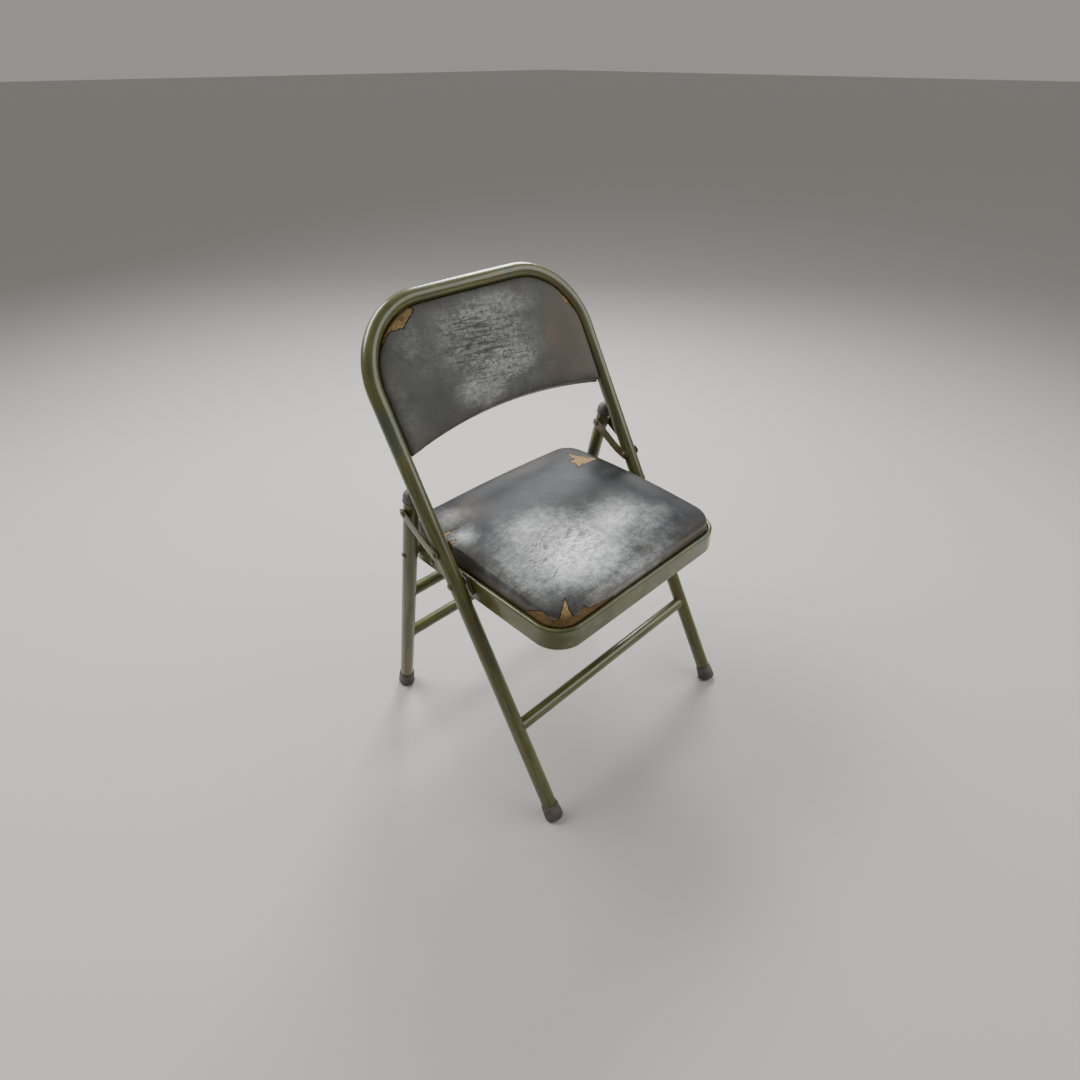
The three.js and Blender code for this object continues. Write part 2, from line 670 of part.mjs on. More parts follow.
// ---------------------------------------------------------------- seat brackets
// Flat plate from the nose, past the seat pivot, to the leg pivot; round bosses stand off the pan.
function seatBracket(side) {
  const nose = { y: seatPivot.y - bracketNoseReach, z: seatPivot.z - bracketNoseDrop };
  const slotMiddle = {
    y: legPivot.y + (slotStart[0] + slotEnd[0]) / 2,
    z: legPivot.z + (slotStart[1] + slotEnd[1]) / 2,
  };
  const cutFrom = side * (panHalfWidth - cutBeyond);
  const cutTo = side * (bracketOuterFace + cutBeyond);
  const place = (shape) => sidePlate(shape, side * bracketInnerFace, side * bracketOuterFace);
  let plate = place(capsule(nose, seatPivot, bracketNoseRadius, bracketFrontRadius));
  plate = plate.add(place(capsule(seatPivot, slotMiddle, bracketFrontRadius, bracketRearRadius)));
  plate = plate.add(place(capsule(nose, legPivot, bracketNoseRadius, bracketNoseRadius)));
  for (const point of bracketRivetPoints) {
    const bossFrom = side * (panHalfWidth + touchGap);
    const bossTo = side * (bracketInnerFace + bracketThickness / 2);
    plate = plate.add(crossRod(bossFrom, bossTo, point, bracketBossRadius));
    const hole = holeFor(bracketRivetRadius);
    plate = plate.subtract(crossRod(cutFrom, cutTo, point, hole));
  }
  plate = plate.subtract(crossRod(cutFrom, cutTo, seatPivot, holeRadius));
  const slotA = { y: legPivot.y + slotStart[0], z: legPivot.z + slotStart[1] };
  const slotB = { y: legPivot.y + slotEnd[0], z: legPivot.z + slotEnd[1] };
  return plate.subtract(sidePlate(capsule(slotA, slotB, slotRadius, slotRadius), cutFrom, cutTo));
}

for (const [label, side] of sides) {
  addPart(`${label}_seat_bracket`, seatBracket(side), paint);
  bracketRivetPoints.forEach((point, index) => {
    const inner = panHalfWidth - panWall - touchGap;
    const outer = bracketOuterFace + touchGap;
    const part = rivet(side, point, inner, outer, bracketRivetSize);
    addPart(`${label}_bracket_rivet_${index + 1}`, part, paint);
  });
}

// ---------------------------------------------------------------- backrest
// How far the panels are bowed to the rear: most in the middle of the lower edge, nothing at the
// sides and at the top.
function bowAt(x, along) {
  const across = x / sideX;
  const up = THREE.MathUtils.clamp((along - backCornerAlong) / (topAlong - backCornerAlong), 0, 1);
  return backBow * (1 - across * across) * (1 - up);
}

// Closed slab over a plane's own triangles: its two faces keep the same diagonals, so neighbouring
// slabs of one bow stay parallel.
function thicken(plane, depthAt, depthFrom, depthTo) {
  const flat = plane.attributes.position;
  const count = flat.count;
  const positions = [];
  for (const depth of [depthFrom, depthTo]) {
    for (let i = 0; i < count; i += 1) {
      const x = flat.getX(i);
      const along = flat.getY(i);
      positions.push(x, depth + depthAt(x, along), along);
    }
  }
  const faces = Array.from(plane.index.array);
  const edges = new Map();
  const indices = [];
  for (let i = 0; i < faces.length; i += 3) {
    const [a, b, c] = faces.slice(i, i + 3);
    indices.push(a, b, c, a + count, c + count, b + count);
    for (const [from, to] of [[a, b], [b, c], [c, a]]) {
      edges.set(`${from},${to}`, [from, to]);
    }
  }
  for (const [from, to] of edges.values()) {
    if (!edges.has(`${to},${from}`)) {
      indices.push(from, to + count, to, from, from + count, to + count);
    }
  }
  const geometry = new THREE.BufferGeometry();
  geometry.setAttribute('position', new THREE.Float32BufferAttribute(positions, 3));
  geometry.setIndex(indices);
  return toSolid(geometry);
}

// Outline of a panel in the frame's plane: the inside of the bent tube above, an arc below.
function backOutline(inset, bottomInset) {
  const halfWidth = sideX - inset;
  const radius = bendRadius - inset;
  const cornerX = sideX - bendRadius;
  const cornerAlong = topAlong - bendRadius;
  const chord = sideX - legTubeRadius;
  const arcRadius = (chord * chord + backArchRise * backArchRise) / (2 * backArchRise);
  const arcCentre = backCornerAlong + backArchRise + bottomInset - arcRadius;
  const half = Math.asin(halfWidth / arcRadius);
  const shape = new THREE.Shape();
  shape.absarc(cornerX, cornerAlong, radius, 0, Math.PI / 2, false);
  shape.absarc(-cornerX, cornerAlong, radius, Math.PI / 2, Math.PI, false);
  shape.absarc(0, arcCentre, arcRadius, Math.PI / 2 + half, Math.PI / 2 - half, true);
  return shape;
}

// A panel between two depths behind the frame's plane, cut to the inside of the bent tube where
// the tube is widest over those depths.
function backPanel(depthFrom, depthTo, bottomInset) {
  const low = backCornerAlong - 2 * cutBeyond;
  const plane = new THREE.PlaneGeometry(legSpacing, topAlong - low, 14, 4);
  plane.translate(0, (topAlong + low) / 2, 0);
  const slab = thicken(plane, bowAt, depthFrom, depthTo);
  const nearest = depthFrom * depthTo < 0 ? 0 : Math.min(Math.abs(depthFrom), Math.abs(depthTo));
  const inset = Math.sqrt((legTubeRadius + touchGap) ** 2 - nearest ** 2);
  const prismDepth = 4 * (backBow + shellDepth);
  const prism = new THREE.ExtrudeGeometry(backOutline(inset, bottomInset), {
    depth: prismDepth,
    bevelEnabled: false,
    curveSegments: bendSteps / 2,    // an arc takes twice as many steps as this
  });
  prism.rotateX(Math.PI / 2);
  prism.translate(0, prismDepth / 2, 0);
  const panel = slab.intersect(toSolid(prism));
  return panel.rotate([-THREE.MathUtils.radToDeg(frameLean), 0, 0]).translate([0, -footSpread / 2, 0]);
}

const inFrame = (x, along, depth) => new THREE.Vector3(
  x,
  along * Math.sin(frameLean) + depth * Math.cos(frameLean) - footSpread / 2,
  along * Math.cos(frameLean) - depth * Math.sin(frameLean),
);
const rearward = new THREE.Vector3(0, Math.cos(frameLean), -Math.sin(frameLean));
const boardDepth = shellDepth - touchGap - backBoardThickness;

const backScrewPoints = [];
for (const drop of backScrewDrops) {
  for (const side of [-1, 1]) {
    backScrewPoints.push({ x: side * backScrewSpreadX, along: topAlong - drop });
  }
}

function drillBack(panel) {
  let drilled = panel;
  for (const { x, along } of backScrewPoints) {
    const from = inFrame(x, along, 0);
    const to = inFrame(x, along, backBow + 2 * shellDepth);
    drilled = drilled.subtract(rod(from, to, holeFor(screwRadius), holeSegments));
  }
  return drilled;
}

addPart('back_shell', drillBack(backPanel(shellDepth, shellDepth + shellThickness, 0)), paint);
const backBoard = backPanel(boardDepth, boardDepth + backBoardThickness, backPadInset);
addPart('back_board', drillBack(backBoard), fibreboard);
addPart('back_pad', backPanel(backPadFront, boardDepth - touchGap, backPadInset), vinyl);

backScrewPoints.forEach(({ x, along }, index) => {
  const seatDepth = shellDepth + shellThickness + bowAt(x, along) + backScrewLift;
  const profile = [
    [0, -screwHeadHeight],
    [screwHeadRadius * 0.6, -screwHeadHeight],
    [screwHeadRadius, -screwHeadHeight * 0.4],
    [screwHeadRadius, 0],
    [screwRadius, 0],
    [screwRadius, shellThickness + backBoardThickness],
    [0, shellThickness + backBoardThickness + screwTip],
  ];
  const into = rearward.clone().negate();
  addPart(`back_screw_${index + 1}`, turned(profile, inFrame(x, along, seatDepth), into, 10), bareSteel);
});

// ---------------------------------------------------------------- origin
// bottom centre of the whole chair's box
chair.updateMatrixWorld(true);
const box = new THREE.Box3().setFromObject(chair, true);
chair.position.set(0, -(box.min.y + box.max.y) / 2, 0);

export default chair;
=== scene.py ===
import json
from math import atan2, cos, pi, radians, sin, tan
import bmesh
import bpy
import numpy as np
from mathutils import Matrix, Vector


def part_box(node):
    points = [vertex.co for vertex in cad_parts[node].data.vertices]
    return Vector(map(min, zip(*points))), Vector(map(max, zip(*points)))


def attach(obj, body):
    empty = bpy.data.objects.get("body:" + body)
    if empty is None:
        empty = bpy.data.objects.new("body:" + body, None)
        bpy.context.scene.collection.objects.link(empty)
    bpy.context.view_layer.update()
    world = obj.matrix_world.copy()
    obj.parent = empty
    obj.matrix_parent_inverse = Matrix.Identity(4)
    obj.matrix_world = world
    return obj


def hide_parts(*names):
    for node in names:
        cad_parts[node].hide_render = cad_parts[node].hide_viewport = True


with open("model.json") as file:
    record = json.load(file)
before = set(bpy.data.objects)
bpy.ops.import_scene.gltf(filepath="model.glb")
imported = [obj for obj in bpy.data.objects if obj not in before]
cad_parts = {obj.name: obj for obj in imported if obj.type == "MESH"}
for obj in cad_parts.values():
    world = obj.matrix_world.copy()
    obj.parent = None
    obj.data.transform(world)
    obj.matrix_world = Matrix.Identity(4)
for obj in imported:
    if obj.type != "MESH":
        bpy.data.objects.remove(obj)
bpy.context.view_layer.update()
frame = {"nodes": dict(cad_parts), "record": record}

mm = 0.001
print("frame loaded:", len(frame["nodes"]), "nodes")

# ---- places taken from the frame
tubes = {"radius": 12.7 * mm, "barRadius": 10.9 * mm, "bendRadius": 125 * mm, "around": 64}
sides = (("left", -1), ("right", 1))
pivots = {joint["name"]: np.array(joint["pos_m"]) for joint in frame["record"]["behaviour"]["joints"]}
seatPivot, linkLow, linkHigh = pivots["seat_fold"], pivots["link_swing"], pivots["rear_leg_fold"]


# Arrays side by side as a last axis, and one after another along the first.
def beside(*values):
    return np.stack(np.broadcast_arrays(*values), axis=-1)


def chain(*rows):
    return np.concatenate(rows)


def corners(node):
    low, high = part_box(node)
    return np.array(low), np.array(high)


def middle(node):
    low, high = corners(node)
    return (low + high) / 2


# Middle of a node, and how near to and how far from the chair's middle plane it reaches.
def reachOf(node):
    low, high = corners(node)
    inner, outer = sorted((abs(low[0]), abs(high[0])))
    return (low + high) / 2, inner, outer


legX = corners("main_frame_tube")[1][0] - tubes["radius"]
frontLean = atan2(linkLow[1] - seatPivot[1], linkLow[2] - seatPivot[2])
upperBar, lowerBar = middle("rear_upper_bar"), middle("rear_lower_bar")
rearLean = atan2(upperBar[1] - lowerBar[1], upperBar[2] - lowerBar[2])
frontFootY = seatPivot[1] - seatPivot[2] * tan(frontLean)
rearFootY = upperBar[1] - upperBar[2] * tan(rearLean)
frontUp = np.array([0, sin(frontLean), cos(frontLean)])
rearUp = np.array([0, sin(rearLean), cos(rearLean)])
rearward = np.array([0, cos(frontLean), -sin(frontLean)])
legPivot = middle("left_leg_pivot_spacer")
topAlong = (corners("main_frame_tube")[1][2] - tubes["radius"]) / cos(frontLean)


# A point of the front frame: x across, along up its plane, depth square to the plane, rearwards.
def inFrame(x, along, depth):
    x, along, depth = np.broadcast_arrays(x, along, depth)
    origin = np.array([0, frontFootY, 0])
    return origin + x[..., None] * [1, 0, 0] + along[..., None] * frontUp + depth[..., None] * rearward


# ---- meshes
joinDistance = 0.002 * mm


# Quads of a grid of points whose columns close on themselves; the rows may close too.
def gridQuads(rows, columns, closeRows, first):
    index = np.arange(rows * columns).reshape(rows, columns) + first
    index = np.hstack([index, index[:, :1]])
    if closeRows:
        index = np.vstack([index, index[:1]])
    return beside(index[:-1, :-1], index[:-1, 1:], index[1:, 1:], index[1:, :-1]).reshape(-1, 4)


# One mesh object from closed grids of points. Rows drawn together to one point close into a pole, and
# each grain, a coordinate that runs with the surface, becomes an attribute for the finish.
def newPiece(name, grids, grains=None, closeRows=False, sharpAngle=40):
    quads, first = [], 0
    for grid in grids:
        quads.append(gridQuads(grid.shape[0], grid.shape[1], closeRows, first))
        first += grid.shape[0] * grid.shape[1]
    points = chain(*[grid.reshape(-1, 3) for grid in grids])
    grain = points if grains is None else chain(*[values.reshape(-1, 3) for values in grains])
    return meshObject(name, points, chain(*quads), grain, sharpAngle)


def meshObject(name, points, quads, grain, sharpAngle):
    mesh = bpy.data.meshes.new(name)
    mesh.vertices.add(len(points))
    mesh.vertices.foreach_set("co", points.astype(np.float32).ravel())
    mesh.loops.add(quads.size)
    mesh.loops.foreach_set("vertex_index", quads.astype(np.int32).ravel())
    mesh.polygons.add(len(quads))
    mesh.polygons.foreach_set("loop_start", np.arange(0, quads.size, 4, dtype=np.int32))
    mesh.update(calc_edges=True)
    attribute = mesh.attributes.new("grain", "FLOAT_VECTOR", "POINT")
    attribute.data.foreach_set("vector", grain.astype(np.float32).ravel())
    work = bmesh.new()
    work.from_mesh(mesh)
    bmesh.ops.remove_doubles(work, verts=work.verts, dist=joinDistance)
    bmesh.ops.dissolve_degenerate(work, edges=work.edges, dist=joinDistance)
    bmesh.ops.recalc_face_normals(work, faces=work.faces)
    work.to_mesh(mesh)
    work.free()
    mesh.shade_smooth()
    mesh.set_sharp_from_angle(angle=radians(sharpAngle))
    piece = bpy.data.objects.new(name, mesh)
    bpy.context.scene.collection.objects.link(piece)
    return piece


# Finish, which is a material and its slot (the slot is not used), body, and the CAD nodes that a piece stands
# for.
def dress(piece, finish, body, *nodes):
    material, slot = finish
    piece.data.materials.clear()
    piece.data.materials.append(material)
    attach(piece, body)
    if nodes:
        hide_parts(*nodes)


# Rings round a path that stays in one plane:
# point = centre + radius (cos a * sideways + sin a * plane normal), sideways = direction x normal.
def tubePoints(path, directions, normal, radius, around):
    angle = np.linspace(0, 2 * pi, around, endpoint=False)[None, :, None]
    sideways = np.cross(directions, normal)[:, None, :]
    return path[:, None, :] + radius * (np.cos(angle) * sideways + np.sin(angle) * np.asarray(normal))


# Grain of a tube: its section at full size, its length drawn together so that patterns run as streaks.
grainSqueeze = 0.06


def tubeGrain(path, radius, around, start):
    angle = np.linspace(0, 2 * pi, around, endpoint=False)[None, :]
    steps = np.linalg.norm(np.diff(path, axis=0), axis=1)
    run = (start + chain([0], np.cumsum(steps)) * grainSqueeze)[:, None]
    return beside(radius * np.cos(angle), radius * np.sin(angle), run)


# First and last ring drawn together to their centres, which closes the ends flat.
def closedEnds(points):
    first = np.broadcast_to(points[:1].mean(axis=1, keepdims=True), points[:1].shape)
    last = np.broadcast_to(points[-1:].mean(axis=1, keepdims=True), points[-1:].shape)
    return chain(first, points, last)


# Surface of revolution: profile rows are (radius, height), height along the axis from the base.
def turnedPoints(profile, base, axis, around):
    profile = np.asarray(profile, float)
    axis = np.asarray(axis, float) / np.linalg.norm(axis)
    helper = np.array([1.0, 0, 0]) if abs(axis[0]) < 0.5 else np.array([0, 0, 1.0])
    across = np.cross(axis, helper)
    across /= np.linalg.norm(across)
    angle = np.linspace(0, 2 * pi, around, endpoint=False)[None, :, None]
    ring = np.cos(angle) * across + np.sin(angle) * np.cross(axis, across)
    return np.asarray(base) + profile[:, 1, None, None] * axis + profile[:, 0, None, None] * ring


# Quarter turns of a profile: from (r0, h0) to (r1, h1), leaving along the radius or along the height.
def quarter(r0, h0, r1, h1, along="height", steps=6):
    share = np.linspace(0, pi / 2, steps)
    if along == "height":
        return beside(r0 + (r1 - r0) * (1 - np.cos(share)), h0 + (h1 - h0) * np.sin(share))
    return beside(r0 + (r1 - r0) * np.sin(share), h0 + (h1 - h0) * (1 - np.cos(share)))


# Profile rows from places (radius, height). A place with a way and steps is reached from the row before
# it: by a "line", or by a quarter turn that leaves along the "radius" or along the "height".
def profileRows(places):
    rows = []
    for radius, height, *bend in places:
        if not bend:
            rows.append([radius, height])
            continue
        way, steps = bend
        if way == "line":
            bent = np.linspace(rows[-1], [radius, height], steps)
        else:
            bent = quarter(*rows[-1], radius, height, way, steps)
        rows += bent[1:].tolist()
    return rows


# Outline points spread evenly along a closed outline.
def evenly(outline, count):
    closed = np.vstack([outline, outline[:1]])
    run = chain([0], np.cumsum(np.linalg.norm(np.diff(closed, axis=0), axis=1)))
    at = np.linspace(0, run[-1], count, endpoint=False)
    return beside(np.interp(at, run, closed[:, 0]), np.interp(at, run, closed[:, 1]))


# Convex outline round several circles: towards each direction it touches the circle that reaches furthest.
def roundCircles(centres, radii, count=240):
    angle = np.linspace(0, 2 * pi, 1440, endpoint=False)
    direction = beside(np.cos(angle), np.sin(angle))
    reach = direction @ np.asarray(centres).T + np.asarray(radii)
    widest = reach.argmax(axis=1)
    touched = np.asarray(centres)[widest] + np.asarray(radii)[widest, None] * direction
    return evenly(touched, count)


# Outward normals of a closed outline, from the neighbours on either side of each point.
def outlineNormals(outline):
    tangent = np.roll(outline, -1, axis=0) - np.roll(outline, 1, axis=0)
    tangent /= np.linalg.norm(tangent, axis=1, keepdims=True)
    normal = beside(tangent[:, 1], -tangent[:, 0])
    outwards = np.sign(((outline - outline.mean(axis=0)) * normal).sum())
    return normal * outwards


# Plate with rounded edges from an outline in the YZ plane, between two x: its rings are the outline
# drawn in by the edge radius, out round the edge, across the thickness and back in.
def platePoints(outline, xFrom, xTo, edge, inner=None):
    turn = np.linspace(0, pi / 2, 5)
    normals = outlineNormals(outline)
    direction = np.sign(xTo - xFrom)
    insets = chain(edge * (1 - np.sin(turn)), edge * (1 - np.sin(turn[::-1])))
    places = chain(xFrom + direction * edge * (1 - np.cos(turn)),
                   xTo - direction * edge * (1 - np.cos(turn[::-1])))
    flat = outline[None] - insets[:, None, None] * normals[None]
    x = np.broadcast_to(places[:, None], flat.shape[:2])
    rings = np.concatenate([x[..., None], flat], axis=-1)
    core = outline.mean(axis=0)[None] if inner is None else inner
    core = np.broadcast_to(core, outline.shape)
    start = np.concatenate([np.full((len(outline), 1), xFrom), core], axis=-1)[None]
    end = np.concatenate([np.full((len(outline), 1), xTo), core], axis=-1)[None]
    return chain(start, rings, end)


# ---- node trees
# A node with its values set and its sockets linked, made in the tree of its first linked socket.
def add(kind, inputs, tree=None, **settings):
    linked = [value for value in inputs.values() if isinstance(value, bpy.types.NodeSocket)]
    if tree is None:
        tree = linked[0].id_data
    made = tree.nodes.new(kind)
    for key, value in settings.items():
        setattr(made, key, value)
    for key, value in inputs.items():
        if isinstance(value, bpy.types.NodeSocket):
            tree.links.new(value, made.inputs[key])
        else:
            made.inputs[key].default_value = value
    return made


def noise(vector, scale, detail=2.0, roughness=0.5):
    inputs = {"Vector": vector, "Scale": scale, "Detail": detail, "Roughness": roughness}
    return add("ShaderNodeTexNoise", inputs).outputs["Fac"]


def stretched(vector, scale=(1, 1, 1), shift=(0, 0, 0)):
    return add("ShaderNodeMapping", {"Vector": vector, "Scale": scale, "Location": shift}).outputs[0]


# Coordinates of a pattern that is moved to a place, turned there and drawn out to a size.
def placed(vector, shift=(0, 0, 0), turn=0.0, size=(1, 1, 1)):
    inputs = {"Vector": vector, "Location": shift, "Rotation": (0, 0, turn), "Scale": size}
    return add("ShaderNodeMapping", inputs, vector_type="TEXTURE").outputs[0]


def between(value, low, high, toLow=0.0, toHigh=1.0):
    inputs = {"Value": value, "From Min": low, "From Max": high, "To Min": toLow, "To Max": toHigh}
    return add("ShaderNodeMapRange", inputs, interpolation_type="SMOOTHSTEP").outputs[0]


def maths(operation, first, second):
    return add("ShaderNodeMath", {0: first, 1: second}, operation=operation).outputs[0]


def plus(first, second):
    return maths("ADD", first, second)


def times(first, second):
    return maths("MULTIPLY", first, second)


def most(first, second):
    return maths("MAXIMUM", first, second)


def mixed(share, first, second):
    first, second = [(*value, 1) if isinstance(value, tuple) else value for value in (first, second)]
    return add("ShaderNodeMix", {0: share, 6: first, 7: second}, data_type="RGBA").outputs[2]


# Layers of colour over a base: each shows where its pattern goes from low to high, at most by its share.
def layered(colour, *layers):
    for pattern, low, high, share, tint in layers:
        colour = mixed(between(pattern, low, high, 0.0, share), colour, tint)
    return colour


def bumped(height, strength, distance, normal=None):
    inputs = {"Strength": strength, "Distance": distance, "Height": height}
    if normal is not None:
        inputs["Normal"] = normal
    return add("ShaderNodeBump", inputs).outputs[0]


def newMaterial(name):
    material = bpy.data.materials.new(name)
    material.use_nodes = True
    material.node_tree.nodes.clear()
    return material, material.node_tree


def surface(tree, inputs):
    shader = add("ShaderNodeBsdfPrincipled", inputs, tree)
    add("ShaderNodeOutputMaterial", {0: shader.outputs[0]})


def attribute(tree, name, output="Fac"):
    return add("ShaderNodeAttribute", {}, tree, attribute_name=name).outputs[output]


def objectPlace(tree):
    return add("ShaderNodeTexCoord", {}, tree).outputs["Object"]


# How the enamel's patterns that follow the grain, its painted reflection bands among them, are drawn out on
# sheet metal:
# long across the chair, broad and soft the other ways.
sheetGrain = np.array([0.1, 0.3, 0.3])
# brown and pale colour the painted reflection bands that run along the tubes
enamelLook = {"green": (0.07, 0.08, 0.02), "lightGreen": (0.108, 0.11, 0.03), "brown": (0.125, 0.098, 0.036),
              "pale": (0.155, 0.165, 0.06), "cool": (0.055, 0.088, 0.068), "aged": (0.1, 0.076, 0.038),
              "rubbed": (0.24, 0.24, 0.16)}


# Olive enamel over steel: green, brown and paler bands that run with the tubes, the brown and paler ones
# painted reflections of the lamps, broad soft blotches and a few rubbed lines under a glossy coat.
# brownShare is how brown a part has gone.
def oliveEnamel(name, brownShare):
    material, tree = newMaterial(name)
    grain, place = attribute(tree, "grain", "Vector"), objectPlace(tree)
    brownReflectionBands = noise(stretched(grain, shift=(0.31, 0.17, 0.05)), 110)
    cool = noise(stretched(place, shift=(1.3, 0.6, 2.1)), 20)
    warm = noise(stretched(place, shift=(0.4, 2.2, 0.9)), 26, 3)
    lines = noise(stretched(grain, (1, 1, 0.3)), 700, 2, 0.6)
    colour = mixed(between(noise(place, 17, 3), 0.35, 0.65), enamelLook["green"], enamelLook["lightGreen"])
    # painted reflections: brown and paler bands along the tubes' length, where the lamps would be mirrored
    colour = layered(colour, (brownReflectionBands, 0.48, 0.64, 0.6, enamelLook["brown"]),
                     (noise(grain, 170), 0.5, 0.66, 0.7, enamelLook["pale"]),
                     (cool, 0.56, 0.68, 0.6, enamelLook["cool"]))
    colour = mixed(times(between(warm, 0.3, 0.6, 0.4, 1.0), brownShare), colour, enamelLook["aged"])
    colour = layered(colour, (lines, 0.66, 0.74, 0.2, enamelLook["rubbed"]))
    surface(tree, {"Base Color": colour, "Roughness": between(noise(place, 60, 3), 0.3, 0.75, 0.3, 0.42),
                   "Normal": bumped(noise(place, 300, 1, 0.4), 0.06, 0.15 * mm), "Specular IOR Level": 0.25,
                   "Coat Weight": 0.7, "Coat Roughness": 0.16, "Coat IOR": 1.6})
    return material


# Moulded rubber, grey-brown, dusty, scuffed towards the floor.
def oldRubber():
    material, tree = newMaterial("old rubber")
    place = objectPlace(tree)
    clouds = noise(place, 55, 4, 0.6)
    scuffs = noise(stretched(place, (1, 1, 2.5)), 420, 4, 0.7)
    colour = mixed(between(clouds, 0.35, 0.68), (0.062, 0.052, 0.046), (0.13, 0.115, 0.105))
    surface(tree, {"Base Color": layered(colour, (scuffs, 0.56, 0.7, 0.7, (0.24, 0.22, 0.2))),
                   "Roughness": between(clouds, 0.3, 0.7, 0.42, 0.62),
                   "Normal": bumped(noise(place, 900, 3, 0.6), 0.25, 0.2 * mm)})
    return material


# Zinc-grey steel of spacers and screws, turned marks and a little rust.
def dullSteel():
    material, tree = newMaterial("dull steel")
    place = objectPlace(tree)
    clouds = noise(place, 180, 4, 0.6)
    surface(tree, {"Base Color": mixed(between(clouds, 0.5, 0.7), (0.36, 0.35, 0.32), (0.17, 0.105, 0.06)),
                   "Metallic": 0.9, "Roughness": between(clouds, 0.3, 0.7, 0.32, 0.6),
                   "Normal": bumped(noise(place, 1500), 0.2, 0.05 * mm)})
    return material


# Narrow marks on a pad: each is an ellipse of the given half length and half width, tapered to its ends.
def marksOn(flat, marks):
    total = 0.0
    for x, y, turn, halfLength, halfWidth in marks:
        oval = placed(flat, (x * mm, y * mm, 0), turn, (halfLength * mm, halfWidth * mm, 1))
        reach = add("ShaderNodeVectorMath", {0: oval}, operation="LENGTH").outputs["Value"]
        total = most(total, between(reach, 0.45, 1.0, 1.0, 0.0))
    return total
